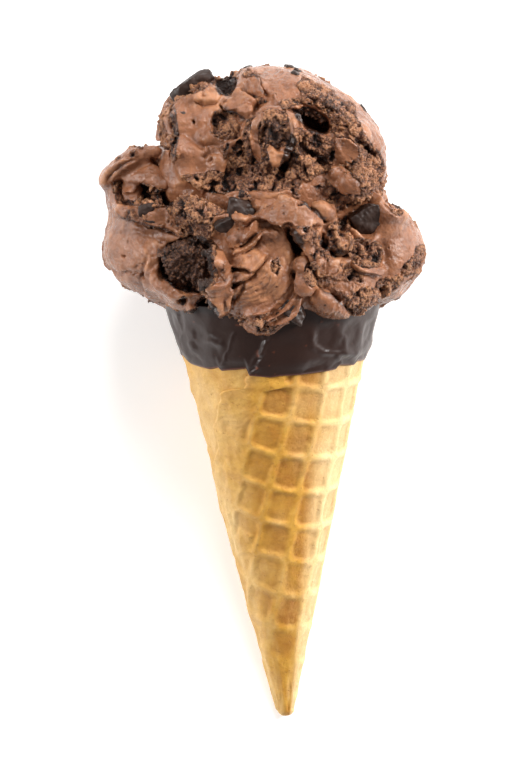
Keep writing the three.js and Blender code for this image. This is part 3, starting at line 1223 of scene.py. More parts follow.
UPPER_LOBES = (
    Lobe((1.8, 0, 181), (35.6, 34.6, 34.3)),  # ball
    Lobe((-18.5, -8, 199.4), (14.8, 16.5, 14.6)),  # upper left
    Lobe((1, -6, 204.4), (18.5, 18.5, 11.6)),  # top
    Lobe((23.4, -5, 184.5), (14.2, 20, 19)),  # right flank
    Lobe((24, -19, 190), (9, 9, 11.5)),  # right lip
    Lobe((-22.5, -13, 183), (12.6, 15, 15.5)),  # lower left
    Lobe((4.2, -25, 198.5), (9.6, 8.2, 10)),  # raised frame of a brownie piece
    Lobe((23, -19.5, 179.5), (11, 11, 8)),  # lower right
    Lobe((-12, 17, 189), (21.5, 19.5, 19.5)),  # back left
    Lobe((14.5, 18.5, 179.5), (19.5, 18, 19)),  # back right
)

UPPER_FOLDS = (
    Fold(((-29, -12, 197), (-22, -20.5, 196.5), (-12, -26.5, 198), (-6, -26.5, 203)), 3.6, 2.8),
    Fold(((11, -28.5, 194), (19, -27.5, 187), (27, -22.5, 181), (32.5, -15, 179)), 3.6, 2.8),
)

# Marks on the lower scoop that are larger than a few millimetres.
LOWER_BIG: tuple[Mark, ...] = (
    # The hollow round the large brownie piece, and its overhanging roof.
    Field((164, 250, 176, 241, 190, 236, 204, 238, 212, 246, 211, 262, 214, 280, 205, 290, 190, 292,
        172, 286, 161, 270), -5, edge=1.4, straight=True),
    Field((206, 250, 214, 247, 222, 254, 221, 270, 223, 284, 228, 300, 226, 313, 218, 312, 210, 299,
        201, 290, 212, 284, 214, 268), 1.6, edge=1.4),
    Ledge((187, 243, 182, 237, 170, 230, 155, 225, 139, 221, 124, 217, 115, 209, 106, 205), -1.2, reach=7,
        sharp=0.7),
    Ridge((112, 203, 126, 211, 142, 216, 158, 220, 174, 226), 1.3, 2.6),
    # Left shoulder.
    Ridge((103, 192, 108, 180, 117, 170, 129, 162, 140, 157), 1.6, 2, shake=0.3),
    Dome((135, 191), (9.5, 4.6), -2.4, turn_deg=6, edge=0.2),
    Dome((168, 199), (2.8, 3.4), -5, edge=0.4),
    Dome((154, 212), (4.6, 3.4), 1.6, turn_deg=20, edge=0.2),
    Ridge((150, 158, 157, 170, 166, 180, 174, 189), -1.8, 1.4),
    Ridge((173, 146, 176, 160, 183, 173, 194, 183, 207, 190), -2.2, 1.5),
    # The crumbly ribbon from the left shoulder down to the hollow.
    Ridge((176, 196, 192, 205, 205, 215, 206, 228), 1.8, 3.6),
    Ridge((184, 236, 200, 240, 212, 236), 1.6, 1.8),
    # The long smooth ribbon across the middle.
    Ridge((252, 205, 266, 205, 282, 208, 298, 213, 314, 219), 2.6, 3),
    Ridge((244, 229, 256, 225, 268, 224, 282, 228, 292, 231), -2.8, 1.4),
    Dome((224, 225), (4.5, 2.6), -2.6, edge=0.3),
    Dome((241, 208), (5, 6), -1.2, edge=0.3),
    # The pocket beside the fan, and the fan itself.
    Field((287, 228, 297, 231, 303, 243, 299, 254, 293, 252, 289, 240), -4.2, edge=1.4, straight=True),
    Ridge((291, 240, 296, 258, 296, 280, 290, 296, 276, 307, 260, 313), -1.9, 1.5, shake=0.2),
    Ridge((272, 224, 284, 240, 286, 260, 282, 282, 268, 298), 1.1, 3, shake=0.2),
    Ridge((226, 262, 228, 280, 232, 300), -2.4, 1.4),
    Ridge((211, 252, 217, 262, 218, 278, 222, 295, 224, 308), 1.6, 1.6),
    # The block of broken pieces at the right.
    Ridge((300, 198, 312, 208, 324, 218, 330, 224), -2, 0.9),
    Field((290, 190, 305, 182, 322, 182, 333, 190, 334, 206, 330, 220, 320, 212, 306, 200), 1.4, edge=1.4),
    Dome((343, 222), (2, 4.2), -4.5, turn_deg=-10, edge=0.3),
    Dome((324, 243), (2.4, 2.2), -3.2, edge=0.35),
    Dome((337, 238), (4.4, 5.2), 1.8, edge=0.3),
    Ridge((330, 256, 340, 253, 349, 258), -3.2, 1.2),
    Dome((393, 207), (4.4, 3.2), -4.5, turn_deg=-30, edge=0.4),
    Ridge((383, 214, 392, 218, 402, 216, 407, 212), 1.2),
    Field((286, 224, 300, 227, 322, 226, 322, 240, 330, 254, 318, 268, 312, 259, 302, 243), 1.6, edge=1.6),
    Ridge((314, 286, 330, 296, 346, 309, 352, 318), -1.6, 1.1),
    Dome((326, 304), (7, 4.6), 1, turn_deg=-25),
    Dome((414, 292), (8, 5), -2.4, turn_deg=40),
    Ridge((126, 224, 140, 230, 154, 240, 160, 250), 0.5, 0.7),
    Ridge((138, 222, 152, 228, 168, 238), 0.4, 0.6),
    Ridge((120, 240, 132, 246, 142, 256), -0.4, 0.6),
    Ridge((136, 240, 146, 248, 150, 260), 0.45, 0.6),
    Ridge((122, 268, 136, 272, 146, 282), -0.5, 0.6),
    Field((353, 203, 364, 201, 376, 209, 380, 222, 374, 234, 362, 236, 353, 228), -2, edge=1.4),
    Ridge((282, 232, 288, 250, 288, 270, 280, 288, 262, 300, 244, 304), -1.5, 3, shake=0.3),
    Ridge((240, 224, 252, 221, 266, 224, 280, 228), -2.2, 1.8),
    Ridge((349, 262, 361, 271, 376, 274, 388, 272), 1.5, 1.7),
    Ridge((355, 206, 364, 199, 377, 203, 385, 215, 384, 228), 1.8, 1.3),
    Ridge((351, 226, 359, 236, 370, 240, 380, 234), 1.5, 1.2),
    Dome((232, 236), (3.2, 3), 1.8, edge=0.2),
    Ridge((236, 214, 242, 223, 250, 221, 258, 213), 1.5, 1.2),
    Ridge((381, 240, 386, 256, 384, 270), -1.2, 1.2),
    Dome((304, 262), (2.6, 4.2), 1.4, edge=0.2),
    Dome((303, 282), (3.6, 3.4), 1.8, edge=0.2),
    # The lower edge, and the gap that bares the coating.
    Field((148, 301, 158, 309, 171, 312, 182, 313, 193, 310, 197, 312, 201, 338, 148, 338), -8, edge=1,
        straight=True),
    Field((197, 302, 202, 297, 208, 299, 214, 305, 219, 313, 214, 330, 198, 330), -7, edge=1, straight=True),
    Dome((183, 301), (1.6, 2), -4.5, edge=0.4),
    Dome((191, 306), (2.2, 1.8), 1.6),
    Ridge((160, 262, 162, 282, 175, 293, 194, 297), 1.6, 1.8),
)

# Finer marks on the lower scoop.
LOWER_SMALL: tuple[Mark, ...] = (
    Field((104, 206, 124, 219, 150, 227, 172, 235, 182, 244, 164, 250, 157, 262, 158, 280, 174, 296,
        190, 302, 180, 314, 150, 304, 120, 279, 100, 245), crumbly=-1),
    Field((380, 214, 394, 217, 410, 212, 426, 232, 428, 256, 408, 262, 392, 272, 382, 262, 378, 240),
        crumbly=-1),
    Field((100, 190, 104, 176, 118, 162, 134, 156, 144, 160, 132, 166, 118, 176, 110, 188, 108, 204),
        crumbly=-1),
    Field((207, 250, 214, 247, 221, 256, 220, 272, 227, 286, 230, 300, 227, 316, 218, 312, 210, 298,
        204, 288, 212, 280, 214, 264), crumbly=-1),
    Field((298, 292, 316, 285, 330, 295, 346, 308, 354, 320, 340, 328, 316, 324, 300, 312), crumbly=-1),
    Ledge((104, 205, 115, 209, 124, 217, 139, 221, 155, 225, 170, 230, 182, 237, 188, 243), 0.5, groove=0.7,
        sharp=0.35, lip=0.3, shake=0.4),
    Ridge((105, 184, 112, 174, 122, 166, 130, 161, 139, 160), -1.5, 0.5, shake=0.2),
    Ridge((103, 181, 110, 171, 121, 163, 131, 158), 0.5, 0.5, shake=0.2),
    Ledge((173, 189, 165, 180, 156, 170, 149, 159), 1.2, groove=1),
    Ridge((160, 144, 168, 152, 172, 164), 0.7, 0.6),
    Ridge((166, 142, 172, 150, 174, 163), -1.2, 0.6),
    Ridge((134, 182, 146, 180, 158, 186), 0.3, 0.5, shake=0.2),
    Ridge((138, 176, 150, 177, 162, 184), 0.3, 0.5, shake=0.2),
    Field((113, 182, 120, 179, 124, 184, 121, 192, 124, 199, 136, 200, 142, 190, 140, 183, 158, 188,
        172, 192, 174, 205, 160, 207, 140, 206, 124, 206, 114, 198), -0.5, crumbly=1),
    Dome((131, 190), (2.5, 2.3), 1.3, edge=0.55),
    Ridge((121, 180, 117, 190, 121, 199, 132, 203), -1.4, 0.8),
    Ridge((141, 184, 142, 194, 138, 202), -1.3, 0.7),
    Ridge((144, 190, 154, 195, 166, 199), -1.5, 1.6, shake=2),
    Ridge((139, 207, 145, 203, 154, 205, 158, 211), 0.9, 0.6),
    Field((172, 190, 195, 194, 208, 193, 226, 193, 232, 205, 226, 214, 214, 217, 212, 232, 204, 238,
        188, 240, 178, 230, 172, 218, 166, 208), crumbly=0.85),
    Dome((205, 204), (1.8, 0.7), -1.6, turn_deg=20, edge=0.2),
    Field((164, 250, 176, 242, 192, 236, 206, 236, 216, 246, 214, 262, 218, 280, 206, 290, 188, 292,
        170, 284, 160, 268), crumbly=1),
    Ledge((326, 226, 314, 213, 302, 204, 286, 196, 270, 193, 256, 188), 0, reach=3, groove=1.6, sharp=0.4),
    Ridge((256, 190, 270, 195, 286, 199, 302, 207, 314, 216), 0.6, 0.6),
    Ledge((252, 219, 267, 219, 282, 222, 295, 224, 310, 225, 324, 226), 0.9, reach=4, groove=1.5, sharp=0.35,
        lip=0.3),
    Ledge((230, 212, 238, 222, 246, 224, 255, 218), 0.8, reach=2, groove=1.2, lip=0.4),
    Field((244, 194, 256, 192, 261, 200, 258, 210, 248, 208), 0.9, crumbly=1),
    Dome((301, 206), (1.3, 0.7), -2.2, edge=0.4),
    Ledge((300, 199, 311, 208, 324, 218, 329, 223), 0.8, groove=1.2, sharp=0.3),
    Field((252, 190, 270, 193, 288, 198, 302, 205, 316, 214, 322, 222, 300, 222, 280, 220, 262, 217,
        250, 212), crumbly=-1),
    Ledge((258, 315, 272, 309, 285, 300, 293, 286, 294, 262, 290, 244, 284, 234), 0.5, reach=3, groove=0.8,
        shake=0.2),
    Ledge((226, 262, 236, 268, 248, 269, 252, 272, 262, 263, 269, 254), 1.1, reach=4, groove=1.5, sharp=0.32,
        lip=0.3, shake=0.5),
    Ledge((227, 283, 240, 282, 250, 277, 258, 271), 0.9, reach=3, groove=1.2, sharp=0.32, lip=0.3,
        shake=0.5),
    Ledge((229, 299, 236, 297, 240, 291, 243, 284), 0.7, reach=2, groove=1, sharp=0.3, shake=0.5),
    Ledge((228, 247, 238, 246, 248, 240, 260, 228), 0.9, reach=3, groove=1.2, sharp=0.32, lip=0.3,
        shake=0.6),
    Ledge((232, 256, 244, 252, 254, 244, 264, 233), 0.6, reach=2, groove=0.9, sharp=0.3, lip=0.3, shake=0.6),
    Ledge((236, 240, 248, 236, 262, 228), 0.8, reach=3, groove=1, shake=0.3),
    Dome((238, 255), (3, 3.4), 0.9),
    Dome((240, 272), (3.2, 1.8), 0.8, turn_deg=15),
    Ledge((240, 314, 255, 320, 268, 323, 281, 320, 293, 312, 299, 302, 304, 292), 1.2, reach=2.2, groove=0.6,
        lip=0.5, shake=0.15),
    Ledge((240, 310, 252, 316, 268, 318, 283, 312, 293, 302, 300, 290), 0.8, reach=2, groove=0.8, lip=0.4,
        shake=0.15),
    Ledge((246, 311, 262, 313, 277, 309, 288, 300, 296, 288), 0.6, reach=2, groove=0.8, lip=0.3, shake=0.15),
    Comb((229, 262, 262, 225, 285, 228, 294, 255, 296, 285, 280, 312, 250, 318, 230, 310, 226, 285),
        (272, 222, 287, 237, 292, 258, 291, 277, 283, 291, 268, 303, 246, 312), 1.4, 0.17),
    Comb((300, 290, 322, 285, 350, 300, 352, 316, 318, 322, 300, 315), (316, 282, 308, 300, 304, 322), 1.1,
        0.2),
    Comb((318, 262, 346, 262, 372, 284, 376, 300, 352, 314, 330, 296), (356, 250, 344, 274, 340, 306), 1.3,
        0.2),
    Field((228, 245, 262, 226, 284, 232, 294, 255, 296, 285, 284, 310, 262, 320, 240, 314, 228, 300,
        226, 270), crumbly=-1),
    Field((272, 262, 279, 258, 282, 266, 277, 276, 271, 272), -0.3, crumbly=0.6),
    Ledge((286, 226, 297, 233, 303, 243, 310, 256, 316, 266, 324, 262, 330, 255), 1.3, groove=1.4,
        sharp=0.35),
    Ledge((304, 254, 297, 262, 296, 276, 299, 290, 308, 293, 320, 286), 1.3, groove=1, sharp=0.35),
    Field((296, 226, 318, 230, 330, 246, 330, 258, 318, 266, 312, 258, 304, 246), crumbly=0.55),
    Field((306, 262, 318, 264, 319, 278, 311, 286, 304, 278), crumbly=1),
    Field((296, 190, 310, 183, 312, 190, 304, 198), crumbly=0.7),
    Field((335, 194, 345, 192, 357, 198, 358, 210, 352, 220, 349, 236, 341, 232, 338, 216, 335, 206), -0.6,
        crumbly=1),
    Ledge((331, 224, 325, 232, 328, 246, 336, 253, 346, 250, 350, 238, 345, 226), 0.9, groove=1),
    Field((330, 224, 345, 222, 352, 236, 350, 252, 334, 254, 326, 244), crumbly=0.75),
    Field((351, 240, 364, 238, 377, 240, 382, 252, 378, 266, 364, 268, 352, 262, 346, 254), crumbly=1),
    Ridge((357, 240, 360, 252, 358, 264), 0.8, 0.7),
    Ridge((368, 240, 371, 254, 369, 266), 0.8, 0.7),
    Field((319, 266, 332, 258, 348, 262, 360, 274, 370, 284, 378, 288, 376, 302, 362, 308, 350, 314,
        340, 304, 328, 293, 316, 285), crumbly=0.28),
    Field((345, 300, 362, 288, 376, 290, 376, 304, 352, 318), crumbly=1),
    Ledge((352, 318, 346, 309, 330, 296, 314, 286), 0.8, groove=0.8, sharp=0.3),
    Ledge((349, 263, 361, 272, 376, 275, 388, 273), 0.8, groove=0.8, sharp=0.35, lip=0.3),
    Ledge((404, 210, 396, 214, 386, 209, 383, 200), 1, groove=1.4, sharp=0.35),
    Field((376, 284, 392, 276, 404, 272, 400, 284, 390, 292, 378, 298), crumbly=0.5),
    Field((414, 250, 426, 246, 430, 270, 418, 280, 410, 272), crumbly=0.6),
    Dome((416, 268), (1.6, 1.2), -1.6, turn_deg=40, edge=0.2),
    Dome((383, 290), (1.8, 1.1), -1.4, turn_deg=30, edge=0.2),
    Dome((409, 222), (0.8, 1.3), -0.9, turn_deg=30, edge=0.2),
    Ledge((157, 262, 160, 276, 164, 286, 175, 294, 182, 296), 0, groove=0, sharp=0.4, lip=0.7),
    Ledge((196, 284, 199, 289, 208, 296, 214, 304, 222, 316), 0.9, lip=0.3),
    Ledge((205, 251, 212, 262, 214, 280, 206, 290), 1.6, reach=2.5, groove=0.8, sharp=0.35),
    Ledge((230, 312, 230, 296, 222, 280, 222, 262, 221, 250), 1.6, reach=2.5, groove=1, sharp=0.35),
    Ridge((130, 240, 140, 250, 148, 258), 0.25, 0.5, shake=0.2),
    Ledge((152, 252, 147, 264, 143, 283, 147, 300), 0.5, reach=6, groove=0.35, sharp=0.4, shake=0.5),
    Ledge((112, 268, 120, 272, 130, 270, 138, 272), 0.35, reach=3, sharp=0.35, shake=0.6),
    Ledge((128, 226, 144, 232, 160, 238, 176, 242), 0.35, groove=0.2, sharp=0.5, shake=0.4),
    Ridge((134, 238, 145, 250, 154, 257), 0.3, 0.5, shake=0.2),
    Dome((160, 243), (1.4, 0.5), -0.8, turn_deg=8, edge=0.2),
    Dome((137, 266), (1.5, 0.6), -0.9, turn_deg=25, edge=0.2),
    Dome((123, 255), (1.1, 0.5), -0.8, turn_deg=-35, edge=0.2),
    Dome((144, 277), (0.9, 0.7), -1, turn_deg=-60, edge=0.2),
    Dome((136, 275), (1, 0.6), -0.9, turn_deg=30, edge=0.2),
    Dome((112, 243), (0.5, 0.5), -0.6, edge=0.2),
)

# Marks on the upper scoop that are larger than a few millimetres.
UPPER_BIG: tuple[Mark, ...] = (
    # The deep crack down the left side.
    Ledge((171, 100, 174, 112, 175, 124, 177, 138, 175, 148, 174, 168), 2, reach=8, groove=1.4, sharp=0.4),
    Ridge((173, 99, 175, 110, 176, 122, 178, 136, 176, 148, 175, 168), -2.4, 0.55, shake=0.5),
    Field((160, 112, 171, 104, 174, 122, 175, 140, 171, 150, 160, 144), crumbly=0.7),
    # The slabs of the upper left lobe.
    Ridge((179, 112, 181, 104, 189, 98, 197, 90, 205, 84, 214, 88), 1.3, 1.6, shake=0.3),
    Dome((193, 108), (4.4, 3.6), -1, turn_deg=20, edge=0.3),
    Dome((213, 93), (4, 2.8), 1.4, turn_deg=-20, edge=0.2),
    Field((217, 82, 228, 76, 236, 78, 234, 89, 227, 96, 219, 94), -5.5, edge=1.2, straight=True),
    Ridge((231, 68, 232, 76, 231, 84), -2.4, 0.9),
    Ridge((219, 103, 230, 111, 240, 114, 248, 121), -1.6, 0.9),
    Field((227, 105, 240, 90, 258, 101, 250, 119, 240, 115, 226, 110), 1.3, round_corners=False),
    Ridge((243, 88, 246, 77, 251, 74, 256, 84, 264, 95), 1.6, 1.8),
    Ridge((268, 99, 260, 90, 256, 78, 250, 70), -1.3, 0.9),
    # The crumby lump in its hole, and the wedge beside it.
    Field((213, 112, 221, 112, 236, 114, 244, 124, 240, 138, 226, 141, 214, 132), -0.9, edge=1.2),
    Dome((215, 122), (1.6, 3), -2.6, edge=0.3),
    Field((232, 111, 246, 118, 248, 128, 241, 130, 234, 122), 1.6, edge=1),
    # The brownie's frame and the crack beside it.
    Field((250, 120, 264, 113, 284, 110, 297, 118, 296, 128, 290, 140, 284, 160, 270, 168, 256, 160,
        248, 140), 2, edge=2.2),
    Dome((274, 134), (4.4, 4.4), -2.6, edge=0.4),
    Ridge((258, 116, 252, 128, 253, 144, 258, 158), 1.5, 1.7),
    Ridge((290, 113, 296, 124, 294, 138, 288, 154), 1.4, 1.1),
    Ridge((257, 117, 268, 111, 282, 109, 291, 113), 0.8, 1.1),
    Field((292, 134, 296, 140, 293, 152, 289, 164, 284, 172, 279, 169, 283, 156, 287, 144), -6, edge=1.1,
        straight=True),
    # The cavity at the right.
    Field((295, 111, 303, 108, 314, 111, 325, 118, 330, 126, 326, 133, 316, 134, 306, 128, 298, 120), -7,
        edge=1.2, straight=True),
    Dome((314, 101), (5.4, 3.2), 1.6, turn_deg=-25, edge=0.3),
    Ridge((324, 96, 336, 114, 348, 130, 364, 152), 1.2, 1.6),
    # Ribs below the cavity.
    Ridge((298, 128, 314, 136, 330, 146, 340, 160), 1.6, 1.8),
    Ridge((296, 142, 308, 150, 324, 160, 334, 168), -2.4, 1.3),
    Ridge((298, 156, 306, 166, 316, 174), 1.4, 2.2),
    Ridge((318, 164, 326, 170, 334, 170), -2.4, 1.4),
    Field((334, 138, 348, 138, 357, 146, 358, 156, 354, 168, 342, 166, 334, 156), 1.8, edge=1.2),
    Ridge((350, 128, 365, 144, 380, 156), -1.2, 1.3, shake=0.3),
    Dome((360, 128), (8, 5), 0.9, turn_deg=-45),
    Dome((336, 173), (3.2, 2.2), 1.6),
    Dome((350, 185), (4.6, 2.6), 1.8, turn_deg=-25, edge=0.2),
    # The lower left lobe.
    Field((177, 144, 190, 138, 198, 142, 206, 150, 222, 152, 226, 164, 218, 178, 208, 188, 190, 184,
        178, 170), 1.6, edge=2),
    Dome((209, 139), (4.4, 4.4), 1.3),
    Field((232, 146, 256, 146, 262, 170, 284, 172, 292, 186, 262, 190, 230, 188, 222, 176), -1.2, edge=3),
    Dome((244, 152), (2.2, 2), -1.2, edge=0.2),
    Dome((240, 172), (2.4, 2.2), -1.4, edge=0.2),
)

# Finer marks on the upper scoop.
UPPER_SMALL: tuple[Mark, ...] = (
    Field((178, 104, 189, 96, 200, 92, 213, 85, 221, 94, 224, 104, 240, 91, 254, 98, 257, 108, 250, 118,
        232, 112, 222, 113, 212, 116, 209, 130, 212, 146, 222, 152, 220, 168, 206, 176, 190, 172, 178, 150,
        180, 130), crumbly=-1),
    Field((262, 60, 288, 56, 300, 70, 304, 86, 302, 98, 284, 102, 272, 104, 262, 90), crumbly=-1),
    Field((356, 100, 368, 110, 380, 126, 388, 142, 388, 160, 378, 152, 366, 138, 358, 122, 354, 110),
        crumbly=-1),
    Ledge((172, 106, 173, 118, 176, 129, 178, 139, 175, 146, 174, 162), 0.8, reach=4, groove=1.4,
        sharp=0.35),
    Ledge((180, 116, 181, 106, 188, 99, 196, 91, 205, 85, 213, 87, 219, 95), -0.7, groove=0, sharp=0.35,
        lip=0.5, shake=0.3),
    Ledge((193, 99, 203, 103, 214, 102, 219, 98), 0.9, groove=0.6, sharp=0.35),
    Dome((205, 99), (2.4, 0.8), -0.5, turn_deg=-5, edge=0.3),
    Ledge((257, 102, 250, 97, 241, 91), 0.5, reach=3, groove=1, sharp=0.3, shake=0.4),
    Ledge((219, 103, 230, 111, 240, 114, 248, 121), 0.9, reach=3, groove=1, sharp=0.3),
    Ridge((226, 111, 238, 117, 250, 120, 255, 111, 259, 102), -1, 0.45, taper=0.1, shake=0.3),
    Ridge((280, 107, 290, 108, 299, 113), -1.8, 0.7),
    Ledge((268, 99, 260, 91, 257, 80, 249, 72), 1, reach=2.5, groove=0.9, sharp=0.35, shake=0.4),
    Ridge((273, 95, 276, 99, 275, 104), 0.9, 0.6),
    Ridge((270, 104, 277, 104, 284, 101), -0.8, 0.5),
    Comb((262, 64, 300, 68, 306, 95, 296, 106, 272, 108, 258, 88), (258, 104, 276, 98, 296, 82, 302, 66),
        1.3, 0.14),
    Field((207, 73, 226, 70, 234, 80, 232, 96, 220, 96, 212, 84), crumbly=0.9),
    Field((160, 112, 172, 108, 176, 132, 172, 146, 160, 142), crumbly=0.7),
    Field((213, 113, 224, 112, 232, 116, 238, 124, 240, 137, 226, 141, 215, 134), crumbly=1),
    Ridge((238, 116, 242, 122, 241, 129), -0.9, 0.4),
    Field((254, 118, 266, 113, 284, 110, 294, 116, 290, 122, 270, 122, 262, 132, 264, 146, 252, 146,
        250, 130), crumbly=0.9),
    Field((236, 142, 256, 140, 268, 150, 286, 160, 300, 162, 298, 188, 262, 191, 233, 190, 222, 180,
        226, 166, 230, 154), -0.4, crumbly=1),
    Ledge((283, 168, 288, 152, 294, 138, 297, 124, 294, 116), 0.7, reach=2, groove=0, sharp=0.3, lip=0.6),
    Ridge((270, 138, 276, 146, 280, 156), -1.3, 1.3),
    Ridge((262, 132, 266, 142, 270, 152), -1, 0.6),
    Ridge((248, 124, 246, 136, 250, 150, 248, 162), 0.9, shake=2),
    Field((250, 118, 270, 110, 296, 112, 299, 126, 292, 142, 284, 160, 262, 164, 246, 150, 244, 130),
        crumbly=0.8),
    Field((251, 120, 257, 114, 266, 111, 264, 118, 259, 128, 259, 142, 263, 156, 259, 164, 253, 156,
        249, 140), crumbly=-1),
    Field((286, 110, 296, 114, 299, 126, 295, 140, 291, 148, 290, 138, 292, 126, 288, 117), crumbly=-1),
    Field((268, 144, 280, 147, 289, 144, 285, 158, 277, 168, 268, 160), 0.5, crumbly=-1),
    Field((298, 82, 312, 80, 328, 88, 342, 98, 354, 104, 356, 114, 364, 132, 374, 146, 384, 160, 386, 196,
        366, 200, 350, 170, 338, 140, 330, 118, 318, 106, 302, 100), crumbly=0.85),
    Field((184, 176, 200, 174, 216, 170, 232, 178, 232, 192, 208, 192, 194, 186), crumbly=0.85),
    Field((296, 128, 312, 132, 330, 138, 334, 152, 332, 168, 318, 176, 300, 176, 292, 160, 294, 140),
        crumbly=1),
    Field((280, 104, 300, 98, 320, 96, 330, 98, 338, 112, 348, 128, 358, 144, 364, 158, 354, 158, 344, 136,
        332, 132, 332, 118, 318, 108, 300, 104, 284, 110), crumbly=0.95),
    Field((336, 138, 350, 138, 358, 148, 356, 164, 346, 160, 338, 154), crumbly=-1),
    Ledge((352, 170, 357, 158, 357, 146, 348, 139, 338, 138), 0.7, reach=4, groove=1.2, sharp=0.3, lip=0.4),
    Ledge((349, 129, 365, 144, 380, 156), 0.9, reach=4, groove=0.8, sharp=0.35, shake=0.3),
    Field((352, 160, 366, 158, 380, 166, 385, 180, 380, 196, 366, 190, 356, 180), crumbly=0.8),
    Dome((187, 91), (2, 1.1), -2.2, turn_deg=20, edge=0.3),
    Dome((194, 123), (0.9, 1.2), -1.8, edge=0.3),
    Ridge((201, 155, 210, 150, 221, 150), 1.1, 0.7),
    Ridge((201, 158, 210, 153, 221, 153), -0.8, 0.5),
    Ridge((210, 155, 211, 160, 209, 165), -0.8, 0.35),
    Ledge((362, 194, 362, 186, 352, 179, 341, 178), 0.8, reach=3, groove=0.8, sharp=0.35),
    Field((366, 176, 384, 172, 388, 198, 372, 202), crumbly=0.6),
    Field((358, 108, 368, 112, 380, 128, 387, 144, 386, 156, 376, 150, 366, 136, 359, 122), crumbly=-1),
    Field((326, 173, 334, 167, 343, 171, 346, 178, 354, 177, 362, 183, 362, 192, 352, 194, 338, 190,
        328, 184), 0.8, crumbly=-0.9),
)


@dataclass
class Scoop:
    """One scoop of ice cream, from its lobes to its torn crumb."""

    name: str
    lobes: tuple[Lobe, ...]
    folds: tuple[Fold, ...]
    big: tuple[Mark, ...]
    small: tuple[Mark, ...]
    others: tuple[Lobe, ...]
    skin: float
    seed: int
    ledges: int = 44
    coarse: float = 0.85
    middle: float = 0.45
    big_gain: float = 1.6
    small_gain: float = 2.1
    most: int = 196000

    def parts(self) -> bmesh.types.BMesh:
        """Set the lobes and folds in place as overlapping closed shapes."""
        parts = bmesh.new()
        for lobe in self.lobes:
            matrix = Matrix.Translation(lobe.at) @ Matrix.Diagonal((*lobe.radii, 1.0))
            bmesh.ops.create_icosphere(parts, subdivisions=4, radius=1.0, matrix=matrix)
        for fold in self.folds:
            line = rounded(np.array(fold.path, float), step=1.5)
            for index, place in enumerate(line):
                share = index / (len(line) - 1)
                size = 0.55 + 0.45 * math.sin(math.pi * share) ** 0.5
                wide, thick = fold.width * size, fold.thick * size
                matrix = Matrix.Translation(place) @ Matrix.Diagonal((wide, thick, wide, 1.0))
                bmesh.ops.create_icosphere(parts, subdivisions=2, radius=1.0, matrix=matrix)
        return parts

    def inside(self, points: np.ndarray, lobes: tuple[Lobe, ...], depth: float) -> np.ndarray:
        """Find the points that other lobes cover.

        Args:
            points: Places in mm.
            lobes: The other lobes.
            depth: How deep they must lie in them, in mm.

        Returns:
            Whether each place is covered.
        """
        covered = np.zeros(len(points), bool)
        for lobe in lobes:
            off = (points - lobe.at) / (np.array(lobe.radii) - depth)
            covered |= np.einsum("ij,ij->i", off, off) < 1.0
        return covered

    def build(self) -> Clay:
        """Shape the scoop."""
        clay = skinned_union(self.parts(), self.coarse, 7)
        clay.points += (1.1 * swell(clay.points, 17.0, self.seed, 3))[:, None] * clay.normals(4)
        away = 1.0 - smooth(-0.25, 0.12, clay.normals(8) @ FRONT.toward)
        hidden = self.inside(clay.points, self.others, 2.0)
        clay.scar(self.seed, self.ledges, away * ~hidden)
        clay.press(self.big, FRONT, 8, self.big_gain)
        clay.reskin(self.middle, 1)
        clay.press(self.small, FRONT, 5, self.small_gain)
        clay.reskin(self.skin, 1)
        return clay

    def roughen(self, clay: Clay) -> None:
        """Give the surface its crumb, bubbles and ripples, and note for the finish where it is torn, where it
        gets painted shade and where painted highlights.
        """
        points, seed = clay.points, self.seed
        ways = clay.normals(3)
        facing = smooth(-0.1, 0.2, ways @ FRONT.toward)
        open_air = ~self.inside(points, self.others, 1.5)
        patches = smooth(-0.05, 0.25, swell(points, 15.0, seed + 3, 3)) * (1.0 - 0.7 * facing)
        torn = clay.crumbliness((*self.big, *self.small), FRONT, patches) * open_air
        wide = relaxed(points, clay.edges, 60)
        bent = np.abs(np.einsum("ij,ij->i", relaxed(points, clay.edges, 10) - points, ways))
        frayed = smooth(0.16, 0.4, bent) * smooth(-0.3, 0.3, swell(points, 6.0, seed + 15, 2))
        torn = np.maximum(torn, 0.7 * frayed * open_air)
        ragged = torn + 0.55 * swell(points, 4.0, seed + 1, 3) * smooth(0.0, 0.2, torn)
        torn = smooth(0.15, 0.6, ragged)
        warped = points + 0.45 * np.column_stack([swell(points, 1.6, each, 2) for each in (3, 5, 7)])
        near, after, own = grains(warped, 1.4, seed + 2)
        fine, fine_after, fine_own = grains(warped, 0.8, seed + 8)
        granular = (0.35 + 1.2 * (own - 0.35)) * smooth(0.0, 0.28, after - near) - 0.3
        fibrous = 0.6 * crests(warped, 2.8, seed + 2, 3)
        crumb = granular + smooth(-0.3, 0.2, swell(points, 7.0, seed + 20, 2)) * (fibrous - granular)
        crumb += (0.2 + 0.8 * (fine_own - 0.4)) * smooth(0.0, 0.35, fine_after - fine) - 0.1
        crumb += 0.55 * swell(points, 4.6, seed + 7, 2)
        crumb -= 1.5 * smooth(0.3, 0.65, swell(warped, 2.3, seed + 9, 2))
        strength = 0.95 + 0.5 * swell(points, 8.0, seed + 12)
        bubble, _, _ = grains(points, 2.6, seed + 5)
        keep = smooth(0.0, 0.4, swell(points, 6.0, seed + 6))
        pits = -0.55 * (1.0 - smooth(0.07, 0.18, bubble)) * keep
        ripple = 0.4 * swell(points, 7.0, seed + 4, 2) + 0.12 * crests(warped, 3.4, seed + 8, 3)
        height = torn * strength * crumb + (1.0 - torn) * (ripple + pits)
        before = relaxed(points, clay.edges, 8)
        clay.points = points + (height * open_air)[:, None] * ways
        sunk = np.einsum("ij,ij->i", before - clay.points, ways)
        deep = np.einsum("ij,ij->i", wide - clay.points, ways)
        attribute(clay.mesh, "torn", torn)
